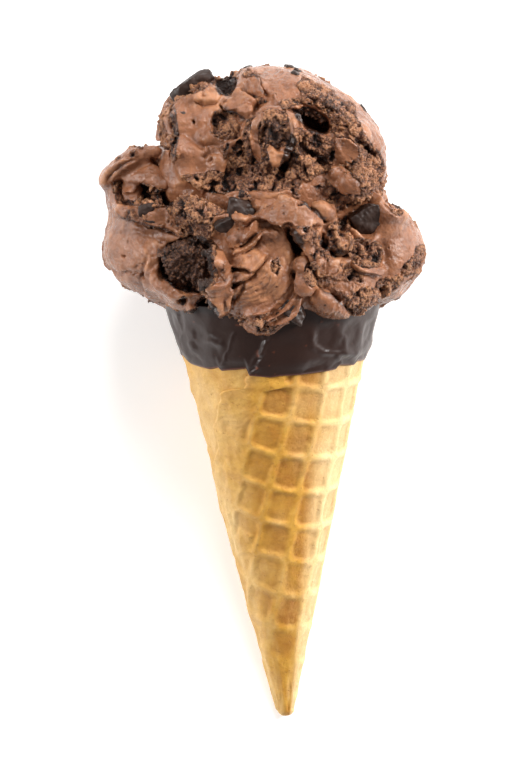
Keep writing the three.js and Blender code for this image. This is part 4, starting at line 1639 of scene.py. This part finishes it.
        # Painted shade mask: high where the surface lies below its evened neighbourhood, near and wide, and
        # where narrow marks press deep.
        drawn = smooth(0.5, 2.6, clay.depths((*self.big, *self.small), FRONT))
        hollow = np.maximum(smooth(0.15, 0.95, sunk), smooth(0.4, 2.4, deep))
        attribute(clay.mesh, "hollow", np.maximum(hollow, 0.9 * drawn))
        # Painted highlight mask: high where the surface stands above its evened neighbourhood.
        attribute(clay.mesh, "painted_light", smooth(0.05, 0.6, -sunk))
        clay.write()

    def dress(self, clay: Clay, material: bpy.types.Material) -> bpy.types.Object:
        """Make the scoop a piece."""
        back = clay.normals(6) @ FRONT.toward < -0.35
        mesh = thinned(clay.mesh, self.most, back | self.inside(clay.points, self.others, 3.0))
        return finish_piece(self.name + "_ice_cream", mesh, material, (self.name,))


# --- Cone and dip -----------------------------------------------------------------------------

DRUM_RADIUS = 30.0


@dataclass(frozen=True)
class Wall:
    """The cone's plain outer wall."""

    height: float = 141.0
    mouth_radius: float = 34.2
    apex_depth: float = 10.3
    tip_radius: float = 3.0

    @property
    def slope(self) -> float:
        """How much wider the wall gets with each mm of height."""
        return self.mouth_radius / (self.height + self.apex_depth)

    @property
    def half_angle(self) -> float:
        """The angle between the wall and the axis."""
        return math.atan(self.slope)

    def radius(self, height: np.ndarray) -> np.ndarray:
        """The wall's distance from the axis at each height."""
        return (height + self.apex_depth) * self.slope


@dataclass(frozen=True)
class Wrap:
    """The rolled sheet: where its free edge runs and the pattern baked into it."""

    edge_heights: tuple[float, ...] = (
        0, 25, 55, 75, 84, 90, 95, 100, 103.2, 108.3, 112.6, 113.8, 115, 116.2, 119, 121, 126, 133, 141
    )
    edge_angles: tuple[float, ...] = (
        -185, -160, -125, -97, -78, -62, -52, -53.5, -49, -43, -39, -35, -22, -19, -17.5, -14, -7, -2.5, 0
    )
    ragged: float = 1.6
    step: float = 0.9
    lap_deg: float = 200.0
    pitch_across: float = 10.3
    first_across: float = -35.7
    pitch_down: float = 12.0
    first_down: float = 113.8
    turn_deg: float = 14.25
    rib: float = 0.45
    pocket: float = 0.95

    def edge(self, height: np.ndarray) -> np.ndarray:
        """The free edge's angle at each height, in degrees."""
        along = np.column_stack((height, 0.0 * height, 0.0 * height))
        return np.interp(height, self.edge_heights, self.edge_angles) + self.ragged * swell(along, 2.4, 7, 2)

    def fall(self, away: np.ndarray) -> np.ndarray:
        """The share of the step that is left so many degrees away from the free edge."""
        return 0.5 * (1.0 + np.cos(math.pi * np.clip(away / self.lap_deg, 0.0, 1.0)))

    def pockets(
        self, wall: Wall, angle: np.ndarray, height: np.ndarray, soft: float | np.ndarray
    ) -> tuple[np.ndarray, np.ndarray, np.ndarray]:
        """Find the baked pattern on the rolled sheet.

        Args:
            wall: The cone's wall.
            angle: Angles round the axis from the front, in degrees.
            height: Heights in mm.
            soft: How wide the pockets' slopes are, in mm.

        Returns:
            The share of pocket, from 0 on a rib to 1 in a pocket, the share of the raised line
            round each pocket, and each pocket's own random number from 0 to 1.
        """
        slant = (height + wall.apex_depth) / math.cos(wall.half_angle)
        spread = np.radians(angle) * math.sin(wall.half_angle)
        turn = math.radians(self.turn_deg)
        x, y = slant * np.sin(spread), slant * np.cos(spread)
        flat = np.column_stack((x, y, np.zeros(len(x))))
        x = x + 0.7 * swell(flat, 12.0, 2, 2) + 0.2 * swell(flat, 3.0, 4, 2)
        y = y + 0.7 * swell(flat, 12.0, 8, 2) + 0.2 * swell(flat, 3.0, 6, 2)
        across = (x * math.cos(turn) - y * math.sin(turn) - self.first_across) / self.pitch_across
        down = (x * math.sin(turn) + y * math.cos(turn) - self.first_down) / self.pitch_down
        from_rib = np.abs(across - np.round(across)) * self.pitch_across
        from_bar = np.abs(down - np.round(down)) * self.pitch_down
        in_across = (from_rib - self.rib) / soft
        in_down = (from_bar - 1.15 * self.rib) / soft
        depth = np.minimum(in_across, in_down) - 0.3 * np.exp(-((in_across - in_down) ** 2) * 2.0)
        cell = np.column_stack((np.floor(across), np.floor(down), np.zeros(len(x)))).astype(np.int64)
        line = np.exp(-(((depth + 0.25) / 0.22) ** 2))
        return smooth(0.0, 1.0, depth), line, chance(cell, 5)


def on_drum(turn: np.ndarray, height: np.ndarray) -> np.ndarray:
    """Find places on an even drum, where noise doesn't bunch up toward the cone's tip."""
    return np.column_stack((np.sin(turn) * DRUM_RADIUS, np.cos(turn) * DRUM_RADIUS, height))


@dataclass
class WaffleCone:
    """The rolled waffle cone, closed over its mouth and round at its tip."""

    wall: Wall = field(default_factory=Wall)
    wrap: Wrap = field(default_factory=Wrap)
    columns: int = 300
    rows: int = 312
    lid_rows: int = 4
    crowd: float = 0.35
    crowd_turn: float = 0.9
    line_height: float = 0.14
    plain_heights: tuple[float, ...] = (20, 50, 56, 59, 64, 67, 70, 80, 95, 113)
    plain_widths: tuple[float, ...] = (8, 14, 16, 24, 24, 16, 15.5, 18.5, 12.6, 13.5)
    bake_angles: tuple[float, ...] = (-100, -60, -32, -18, -4, 8, 26, 36, 60, 85, 180)
    bake_shares: tuple[float, ...] = (0.6, 0.15, 0.3, 0.75, 0.85, 1, 1, 0.45, 0.35, 0.6, 0.9)
    # Painted light by the angle round from the front: most on the lit right side, some on the left edge.
    painted_light_angles: tuple[float, ...] = (-120, -60, -25, -5, 25, 38, 60, 85, 120, 180)
    painted_light_shares: tuple[float, ...] = (0.1, 0.5, 0.12, 0, 0.05, 0.7, 1, 1, 0.2, 0)

    def surface(self, across: np.ndarray, up: np.ndarray) -> tuple[np.ndarray, ...]:
        """Roll the flat grid up.

        Args:
            across: The share of the way round from the free edge.
            up: The share of the way from the tip to the middle of the lid.

        Returns:
            The points, the share of browned pocket and the share of painted light at each.
        """
        wall = self.wall
        lid = self.lid_rows / self.rows
        rise = np.clip(up / (1.0 - lid), 0.0, 1.0)
        inward = np.clip((up - (1.0 - lid)) / lid, 0.0, 1.0)
        height = np.interp(rise, (0.0, 0.93, 1.0), (0.0, 122.0, wall.height))
        start = self.wrap.edge(height)
        turned = np.minimum(across * self.columns / (self.columns - 1), 1.0)
        even = (2.0 * turned - 1.0) * math.pi
        crowded = even + self.crowd * np.sin(even + self.crowd_turn)
        turned = (crowded - self.crowd * math.sin(self.crowd_turn - math.pi)) / (2 * math.pi) + 0.5
        angle = start + 360.0 * turned
        last = across > (self.columns - 0.5) / self.columns
        away = np.where(last, 0.0, turned)
        angle = np.where(last, start, angle)
        arc = np.radians(360.0 * away) * wall.radius(height)
        rounding = 0.45 + 0.55 * smooth(0.0, 0.9, arc)
        risen = self.wrap.step * rounding * self.wrap.fall(360.0 * away)
        over = np.where((away >= 0.999) & ~last, 0.0, risen)
        soft = 1.3 + 0.6 * (1.0 - smooth(20.0, 75.0, height))
        pocket, line, own = self.wrap.pockets(wall, angle, height, soft)
        fade = smooth(8.0, 80.0, height) * 0.6 + 0.3
        left = 1.0 - smooth(255.0, 300.0, angle - start) * 0.85
        plain = np.interp(height, self.plain_heights, self.plain_widths)
        near_edge = smooth(-1.5, 1.0, arc - plain) * 0.85 + 0.15
        relief = pocket * fade * left * near_edge * (0.65 + 0.35 * own)
        lines = line * fade * left * near_edge
        radius = wall.radius(height) + over - self.wrap.pocket * relief + self.line_height * lines
        turn = np.radians(angle)
        place = on_drum(turn, height)
        radius += 0.24 * swell(place, 9.0, 3, 2) + 0.08 * swell(place, 2.4, 9, 2)
        radius += (1.0 - left) * 0.7 * swell(place, 7.0, 21, 2)
        lumps = 0.35 * swell(place, 5.0, 27, 3) + 0.2 * crests(place, 6.0, 29, 2)
        radius += (1.0 - near_edge) * smooth(20.0, 60.0, height) * lumps
        tangent = wall.tip_radius * (1.0 - math.sin(wall.half_angle))
        below = np.minimum(height, tangent) - wall.tip_radius
        tip = np.sqrt(np.maximum(wall.tip_radius**2 - below**2, 0.0))
        radius = np.where(height < tangent, tip, radius)
        radius = radius * (1.0 - inward)
        points = np.column_stack((radius * np.sin(turn), -radius * np.cos(turn), height))
        round_front = np.mod(angle + 180.0, 360.0) - 180.0
        bake = np.interp(round_front, self.bake_angles, self.bake_shares) * (0.7 + 0.3 * own)
        # Painted light: the lit sides, highlights along the raised lines round the pockets, and random
        # lighter patches.
        painted_light = np.interp(round_front, self.painted_light_angles, self.painted_light_shares)
        painted_light = np.clip(painted_light + 0.15 * lines + 0.2 * swell(place, 10.0, 17, 2), 0.0, 1.0)
        return points, np.minimum(relief / fade, 1.0) * bake, painted_light

    def build(self, material: bpy.types.Material) -> bpy.types.Object:
        """Roll the sheet and close it."""
        clay = Clay(grid_mesh("waffle", self.columns, self.rows))
        points, relief, painted_light = self.surface(clay.points[:, 0] + 0.5, clay.points[:, 1] + 0.5)
        clay.points = points
        attribute(clay.mesh, "pocket", relief)
        attribute(clay.mesh, "painted_light", painted_light)
        clay.write()
        return finish_piece("waffle_cone_rolled", welded(clay.mesh), material, ("waffle_cone",))


def welded(mesh: bpy.types.Mesh, gap: float = 0.004) -> bpy.types.Mesh:
    """Join points that touch, and turn every face outward.

    Args:
        mesh: The mesh, in mm.
        gap: How far apart points may be that are joined, in mm.

    Returns:
        The same mesh.
    """
    joined = bmesh.new()
    joined.from_mesh(mesh)
    bmesh.ops.remove_doubles(joined, verts=joined.verts, dist=gap)
    bmesh.ops.dissolve_degenerate(joined, edges=joined.edges, dist=gap)
    bmesh.ops.recalc_face_normals(joined, faces=joined.faces)
    joined.to_mesh(mesh)
    joined.free()
    return mesh


DIP_MARKS = (
    Ridge((314, 327, 312, 337, 313, 347, 321, 351, 336, 353, 353, 351), 0.5, taper=0.15),
    Ridge((344, 331, 344, 345, 347, 353, 362, 352), 0.5, taper=0.15),
    Ridge((338, 353, 339, 359, 341, 366), 0.4, 0.8),
    Ridge((192, 325, 192, 338, 194, 356), 0.5, 1.3),
    Ridge((203, 336, 212, 341, 226, 345), 0.5, 1.5),
    Ridge((235, 331, 228, 350, 220, 369), 0.3, 0.45, taper=0.1),
    Ridge((258, 330, 265, 338, 263, 349, 261, 358), 0.45, 0.8),
    Ridge((267, 353, 256, 358, 251, 368, 249, 377), 0.4, 0.9),
    Dome((205, 352), (7, 4), -0.35),
    Dome((288, 345), (6, 6), -0.3),
)


@dataclass
class ChocolateDip:
    """The set coating round the cone's mouth."""

    wall: Wall = field(default_factory=Wall)
    wrap: Wrap = field(default_factory=Wrap)
    edge_angles: tuple[float, ...] = (
        -180, -120, -90, -76.6, -64.6, -45.5, -37, -35.5, -28, -17.5, -16, -12, -3, 3, 17, 41, 43, 59, 63,
        74, 110, 150, 180,
    )
    edge_heights: tuple[float, ...] = (
        119.8, 118.9, 121.5, 122.8, 120.8, 120.4, 121.3, 120.2, 120.8, 121.5, 119.2, 119, 118.5, 118.9,
        118.9, 119.2, 120.4, 119.1, 120.2, 119.3, 120.5, 118.8, 119.8,
    )
    relief_angles: tuple[float, ...] = (-180, -70, -45, -20, 12, 20, 70, 100, 180)
    relief_shares: tuple[float, ...] = (0.5, 0.5, 0.3, 0.1, 0.1, 0.35, 0.6, 0.5, 0.5)
    thickness: float = 1.1
    lip: float = 1.5
    inner_depth: float = 0.9
    rim_depth: float = 0.4
    columns: int = 330
    rows: int = 90
    inner_rows: int = 6

    def build(self, material: bpy.types.Material) -> bpy.types.Object:
        """Pour the coating round the mouth."""
        clay = Clay(grid_mesh("dip", self.columns, self.rows))
        turned = (clay.points[:, 0] + 0.5) * 360.0 - 180.0
        angle = turned - np.degrees(0.3 * np.sin(np.radians(turned)))
        up = clay.points[:, 1] + 0.5
        inner = self.inner_rows / self.rows
        low = np.interp(angle, self.edge_angles, self.edge_heights)
        rise = np.where(up < 1.0 - inner, up / (1.0 - inner), (1.0 - up) / inner)
        top = self.wall.height + self.lip
        height = low + (top - low) * rise
        above = height - low
        wall = self.wall.radius(height)
        inside = up > 1.0 - inner
        start = self.wrap.edge(height)
        away = np.mod(angle - start, 360.0)
        arc = np.radians(np.where(away > 180.0, away - 360.0, away)) * wall
        risen = self.wrap.step * smooth(-0.9, 0.9, arc)
        step = np.where(away > self.wrap.lap_deg, risen * (arc > -2.0), risen * self.wrap.fall(away))
        rolled = np.where(away > 300.0, away - 360.0, away) + start
        pocket, _, _ = self.wrap.pockets(self.wall, rolled, height, 2.6)
        body = 0.3 * self.thickness * smooth(0.0, 0.5, above)
        body = body + 0.7 * self.thickness * smooth(0.0, 5.0, above)
        ridge = 0.3 * np.exp(-((arc / 1.2) ** 2)) * smooth(0.5, 2.0, above)
        shown = np.interp(angle, self.relief_angles, self.relief_shares)
        outer = wall + step + body + ridge - shown * pocket + 0.1
        turn = np.radians(angle)
        flow = on_drum(turn, height)
        outer = outer + 0.35 * swell(flow, 9.0, 4, 2) * smooth(0.5, 3.0, above)
        outer = np.maximum(outer, wall + step + 0.4 * smooth(0.0, 1.0, above))
        radius = np.where(inside, wall - self.inner_depth, outer)
        edge_row = (up < 1e-6) | (up > 1.0 - 1e-6)
        radius = np.where(edge_row, wall - self.rim_depth, radius)
        clay.points = np.column_stack((radius * np.sin(turn), -radius * np.cos(turn), height))
        clay.press(DIP_MARKS, FRONT, 3, 1.0)
        spots = smooth(0.42, 0.56, swell(flow, 1.8, 12, 2)) * np.exp(-((arc / 1.2) ** 2))
        dots = smooth(0.8, 0.9, swell(flow, 1.5, 15))
        cracks = np.exp(-((swell(flow * (1.0, 1.0, 0.25), 9.0, 33) / 0.02) ** 2))
        cracks = cracks * smooth(0.4, 0.6, swell(flow, 12.0, 35))
        spots = np.maximum(spots, 0.5 * np.maximum(dots, cracks * (angle < 0)))
        attribute(clay.mesh, "thin", np.maximum(0.85 * (1.0 - smooth(0.2, 1.0, above)), spots))
        clay.write()
        return finish_piece("chocolate_dip_coat", welded(clay.mesh), material, ("chocolate_dip",))


# --- Brownies and chocolate chunks ------------------------------------------------------------


class Filling(Enum):
    """What a piece in the ice cream is."""

    BROWNIE = "brownie"
    CHUNK = "chunk"


def cut_block(random: np.random.Generator, size: Vector, cuts: int) -> bmesh.types.BMesh:
    """Chop a block out of a larger one.

    Args:
        random: Where the cuts come from.
        size: The block's size in mm.
        cuts: How many of its corners are cut off.

    Returns:
        The block about the origin.
    """
    block = bmesh.new()
    bmesh.ops.create_cube(block, size=1.0)
    corners = [Vector((x, y, z)) for x in (-1, 1) for y in (-1, 1) for z in (-1, 1)]
    random.shuffle(corners)
    for corner in corners[:cuts]:
        way = (corner + Vector(random.normal(size=3)) * 0.45).normalized()
        everything = block.verts[:] + block.edges[:] + block.faces[:]
        place = way * random.uniform(0.42, 0.58)
        bmesh.ops.bisect_plane(block, geom=everything, plane_co=place, plane_no=way, clear_outer=True)
        bmesh.ops.holes_fill(block, edges=[edge for edge in block.edges if edge.is_boundary])
    bmesh.ops.scale(block, vec=size, verts=block.verts)
    bmesh.ops.triangulate(block, faces=block.faces[:])
    return block


@dataclass(frozen=True)
class Flake:
    """A small flat bit of chocolate on the front: its place in steps, and its size in mm."""

    at: tuple[float, float]
    size: Triple
    turn_deg: float = 0.0
    sunk: float = 0.3


FLAKES = (
    Flake((183, 112.5), (2.0, 1.4, 1.2), 10, 0.5),
    Flake((148, 209), (6.4, 3.4, 2.0), 12),
    Flake((187, 91), (4.0, 2.2, 1.6), 25),
    Flake((299, 71), (3.4, 1.6, 1.4), -15),
    Flake((150, 222), (3.2, 0.9, 1.0), -8, 0.2),
    Flake((244, 195), (3.4, 2.0, 1.4), -10),
    Flake((179, 258), (3.6, 3.0, 2.6), 30, 0.6),
)


@dataclass
class Flakes:
    """All the small bits of chocolate, drawn ones at the front and random ones elsewhere."""

    drawn: tuple[Flake, ...] = FLAKES
    others: int = 46
    seed: int = 9
    skin: float = 0.28
    most: int = 60000

    def places(self, trees: tuple[BVHTree, ...]) -> Iterator[tuple[Matrix, Vector]]:
        """Find where each flake lies.

        Args:
            trees: The scoops' surfaces.

        Yields:
            The flake's place on the standing cone, and its size in mm.
        """
        for flake in self.drawn:
            hits = [tree.ray_cast(*FRONT.ray(flake.at)) for tree in trees]
            hits = [hit for hit in hits if hit[0] is not None]
            if hits:
                place, out, _, _ = min(hits, key=lambda hit: hit[3])
                across = Vector(FRONT.across)
                yield self.lay(place, out, across, flake.turn_deg, flake.sunk), Vector(flake.size)
        random = np.random.default_rng(self.seed)
        for _ in range(self.others):
            around, rise = random.uniform(95.0, 265.0), random.uniform(-35.0, 80.0)
            drawing = Drawing(around_deg=around, rise_deg=rise, roll_deg=0.0)
            start = Vector(drawing.toward * 200.0) + Vector((0.0, 0.0, 172.0))
            aim = Vector(random.normal(size=3) * (14.0, 14.0, 16.0)) + Vector((0.0, 0.0, 172.0))
            hits = [tree.ray_cast(start, (aim - start).normalized()) for tree in trees]
            hits = [hit for hit in hits if hit[0] is not None]
            size = Vector(random.uniform((1.8, 1.4, 1.2), (5.5, 3.6, 2.4)))
            if hits:
                place, out, _, _ = min(hits, key=lambda hit: hit[3])
                yield self.lay(place, out, Vector(drawing.across), random.uniform(0, 360), 0.4), size

    def lay(self, place: Vector, out: Vector, across: Vector, turn_deg: float, sunk: float) -> Matrix:
        """Work out how a flake lies on the surface.

        Args:
            place: A place on the surface, in mm.
            out: The way out of the surface there.
            across: The way that counts as across.
            turn_deg: How far the flake is turned from it.
            sunk: How deep it lies, in mm.

        Returns:
            The flake's place and turn.
        """
        side = (across - out * across.dot(out)).normalized()
        basis = Matrix((side, out.cross(side), out)).transposed().to_4x4()
        turned = basis @ Matrix.Rotation(math.radians(turn_deg), 4, "Z")
        return Matrix.Translation(place - out * sunk) @ turned

    def build(self, trees: tuple[BVHTree, ...], material: bpy.types.Material) -> bpy.types.Object:
        """Cut and lay all the flakes."""
        random = np.random.default_rng(self.seed)
        mesh = bpy.data.meshes.new("flakes")
        everything = bmesh.new()
        for matrix, size in self.places(trees):
            block = cut_block(random, size, 5)
            block.transform(matrix)
            block.to_mesh(mesh)
            block.free()
            everything.from_mesh(mesh)
        clay = skinned_union(everything, self.skin, 1)
        clay.points += (0.12 * crests(clay.points, 1.5, self.seed, 2))[:, None] * clay.normals(1)
        clay.write()
        attribute(clay.mesh, "hollow", np.zeros(len(clay.points)))
        mesh = thinned(clay.mesh, self.most, np.zeros(len(clay.points)))
        return finish_piece("chocolate_flakes", mesh, material)


@dataclass(frozen=True)
class Morsel:
    """A piece set in the ice cream: its middle, size and turns on the standing cone."""

    node: str
    kind: Filling
    at: Triple
    size: Triple
    turn_deg: Triple
    seed: int
    sunk: float = 0.0
    cuts: int = 6
    skin: float = 0.36

    @property
    def matrix(self) -> Matrix:
        """Where the piece is and how it is turned."""
        turn = Matrix.Identity(4)
        for axis, degrees in zip("XYZ", self.turn_deg):
            turn = turn @ Matrix.Rotation(math.radians(degrees), 4, axis)
        return Matrix.Translation(self.at) @ turn

    def build(self, material: bpy.types.Material) -> bpy.types.Object:
        """Shape the piece and give it its crumb or its cut faces."""
        block = cut_block(np.random.default_rng(self.seed), Vector(self.size) * 1.06, self.cuts)
        mesh = bpy.data.meshes.new(self.node)
        block.to_mesh(mesh)
        block.free()
        clay = Clay(mesh)
        brownie = self.kind is Filling.BROWNIE
        clay.reskin(self.skin, 3 if brownie else 1)
        ways = clay.normals(2)
        place = clay.points + (self.seed * 31.0, 0.0, 0.0)
        if brownie:
            near, after, own = grains(place, 1.5, self.seed)
            fine, fine_after, fine_own = grains(place, 0.8, self.seed + 2)
            height = (0.5 + 1.6 * (own - 0.4)) * smooth(0.0, 0.35, after - near) - 0.5
            height += (0.3 + 0.8 * (fine_own - 0.4)) * smooth(0.0, 0.4, fine_after - fine)
            height += 0.08 * min(self.size) * swell(place, 4.5, self.seed, 3)
        else:
            height = 0.25 * swell(place, 4.0, self.seed, 2) + 0.12 * crests(place, 1.6, self.seed, 2)
        before = relaxed(clay.points, clay.edges, 8)
        clay.points = clay.points + height[:, None] * ways
        sunk = np.einsum("ij,ij->i", before - clay.points, ways)
        # Painted shade mask where the surface lies below its evened neighbourhood; the brownie finish paints
        # shade there, the chunk finish doesn't read it.
        attribute(clay.mesh, "hollow", smooth(0.05, 0.6, sunk))
        clay.write()
        clay.mesh.transform(Matrix.Translation(Vector(-FRONT.toward * self.sunk)) @ self.matrix)
        return finish_piece(self.node + "_piece", clay.mesh, material, (self.node,))


MORSELS = (
    Morsel("brownie_in_hollow", Filling.BROWNIE, (-24.8, -31, 157.2), (16, 9, 15), (6, -24, 4), 1, 0.8, 2),
    Morsel("brownie_in_frame", Filling.BROWNIE, (3.8, -30, 198.4), (7.6, 7.5, 8), (20, 10, 8), 2, -1.3, 4),
    Morsel("brownie_near_top", Filling.BROWNIE, (17, -19, 204.6), (9, 7, 6), (15, 30, 0), 3, 2.2, 4),
    Morsel("brownie_at_right_side", Filling.BROWNIE, (37, 18, 162), (11, 10, 9), (0, 25, 40), 4),
    Morsel("chunk_on_top", Filling.CHUNK, (-23.6, -12, 211.6), (14.4, 6.5, 4.8), (0, -32, 0), 12, 0.0, 7),
    Morsel("chunk_at_fold", Filling.CHUNK, (-9.4, -36.9, 172.8), (8, 6, 9.4), (-12, 12, 0), 2, 1.8),
    Morsel("chunk_under_fold", Filling.CHUNK, (-14.2, -38.9, 170.4), (7.4, 5.2, 5), (0, 15, 20), 3, 1.2),
    Morsel("chunk_at_right", Filling.CHUNK, (31.6, -24.2, 167.8), (9.6, 6, 9), (8, -30, 14), 9, 0.8, 6),
    Morsel("chunk_at_rim", Filling.CHUNK, (6.2, -38.4, 141.0), (7.6, 5.4, 5.6), (-16, 24, 10), 8, 1.4, 4),
    Morsel("chunk_at_back", Filling.CHUNK, (-15, 35.4, 191), (10, 6, 8), (10, 30, 0), 7),
)


# --- Floor, light and camera ------------------------------------------------------------------


@dataclass
class Studio:
    """A plain, light-coloured floor, soft light and the camera."""

    floor_side: float = 12.0
    floor_tone: Tone = (250, 250, 250)
    picture_height: float = 768.0
    sensor: float = 36.0
    sky: tuple[float, float] = (0.4, 0.25)
    aim: Triple = (0.0, 0.03, 0.03)
    floor_tint: Tone = (247, 247, 246)
    floor_glow: float = 0.3

    def floor(self) -> None:
        """Lay the floor."""
        mesh = grid_mesh("floor", 8, 8, self.floor_side)
        shader = Shader("floor")
        clouds = shader.noise(400.0, 2.0)
        colour = shader.mix(clouds, tone(*self.floor_tone), tone(*self.floor_tint))
        shader.set(Base_Color=colour, Roughness=0.9)
        shader.set(Emission_Color=(1.0, 1.0, 1.0, 1.0), Emission_Strength=self.floor_glow)
        mesh.materials.append(shader.material)
        floor = bpy.data.objects.new("floor", mesh)
        bpy.context.scene.collection.objects.link(floor)

    def lamp(self, name: str, place: Triple, size: float, power: float, colour: Triple) -> None:
        """Hang a soft box.

        Args:
            name: Its name.
            place: Where it hangs, in metres.
            size: The length of its sides, in metres.
            power: Its power in watts.
            colour: Its colour.
        """
        light = bpy.data.lights.new(name, "AREA")
        light.size = size
        light.energy = power
        light.color = colour
        lamp = bpy.data.objects.new(name, light)
        lamp.location = place
        lamp.rotation_euler = (Vector(self.aim) - Vector(place)).to_track_quat("-Z", "Y").to_euler()
        bpy.context.scene.collection.objects.link(lamp)

    def light(self) -> None:
        """Light the scene softly, more from the right and from the head."""
        world = bpy.data.worlds.new("studio")
        world.use_nodes = True
        tree = world.node_tree
        way = tree.nodes.new("ShaderNodeTexCoord").outputs["Generated"]
        split = tree.nodes.new("ShaderNodeSeparateXYZ")
        span = tree.nodes.new("ShaderNodeMapRange")
        span.inputs["To Min"].default_value, span.inputs["To Max"].default_value = self.sky
        tree.links.new(way, split.inputs[0])
        tree.links.new(split.outputs["Z"], span.inputs["Value"])
        tree.links.new(span.outputs["Result"], tree.nodes["Background"].inputs["Strength"])
        tree.nodes["Background"].inputs["Color"].default_value = (1.0, 1.0, 1.0, 1.0)
        bpy.context.scene.world = world
        self.lamp("soft_box_right", (1.3, 0.45, 0.75), 0.5, 33.0, (1.0, 0.99, 0.98))
        self.lamp("soft_box_head", (0.1, 1.1, 1.2), 0.48, 15.0, (1.0, 1.0, 1.0))
        self.lamp("soft_box_left", (-1.3, 0.2, 0.7), 0.42, 16.0, (1.0, 1.0, 1.0))
        bpy.context.scene.view_settings.view_transform = "Standard"
        bpy.context.scene.view_settings.look = "None"

    def camera(self) -> None:
        """Set the camera up over the front."""
        data = bpy.data.cameras.new("camera")
        height_seen = self.picture_height * FRONT.step
        data.sensor_width = self.sensor
        data.lens = self.sensor * FRONT.distance / height_seen
        data.clip_start, data.clip_end = 0.1, 100.0
        eye = FRONT.middle[0] * FRONT.across + FRONT.middle[1] * FRONT.upward + FRONT.distance * FRONT.toward
        roll = math.radians(FRONT.roll_deg)
        right = FRONT.across * math.cos(roll) - FRONT.upward * math.sin(roll)
        up = FRONT.across * math.sin(roll) + FRONT.upward * math.cos(roll)
        ends = RESTING.to_floor(np.array([eye, eye + right, eye + up, eye + FRONT.toward]))
        ways = [(end - ends[0]) / np.linalg.norm(end - ends[0]) for end in ends[1:]]
        turn = Matrix([list(row) for row in np.array(ways).T]).to_4x4()
        camera = bpy.data.objects.new("camera", data)
        camera.matrix_world = Matrix.Translation(ends[0]) @ turn
        bpy.context.scene.collection.objects.link(camera)
        bpy.context.scene.camera = camera

    def build(self) -> None:
        """Set the whole studio up."""
        self.floor()
        self.light()
        self.camera()


def main() -> None:
    """Build every piece in order."""
    logging.basicConfig(level=logging.INFO, format="%(message)s")
    Studio().build()
    WaffleCone().build(WaferFinish().make())
    ChocolateDip().build(DipFinish().make())
    ice_cream = IceCreamFinish().make()
    scoops = (
        Scoop("scoop_lower", LOWER_LOBES, LOWER_FOLDS, LOWER_BIG, LOWER_SMALL, UPPER_LOBES, 0.36, 11),
        Scoop("scoop_upper", UPPER_LOBES, UPPER_FOLDS, UPPER_BIG, UPPER_SMALL, LOWER_LOBES, 0.34, 23),
    )
    trees = []
    for scoop in scoops:
        clay = scoop.build()
        scoop.roughen(clay)
        trees.append(clay.tree())
        scoop.dress(clay, ice_cream)
    finishes = {Filling.BROWNIE: BrownieFinish().make(), Filling.CHUNK: ChunkFinish().make()}
    for morsel in MORSELS:
        morsel.build(finishes[morsel.kind])
    Flakes().build(tuple(trees), finishes[Filling.CHUNK])


if __name__ == "__main__":
    main()
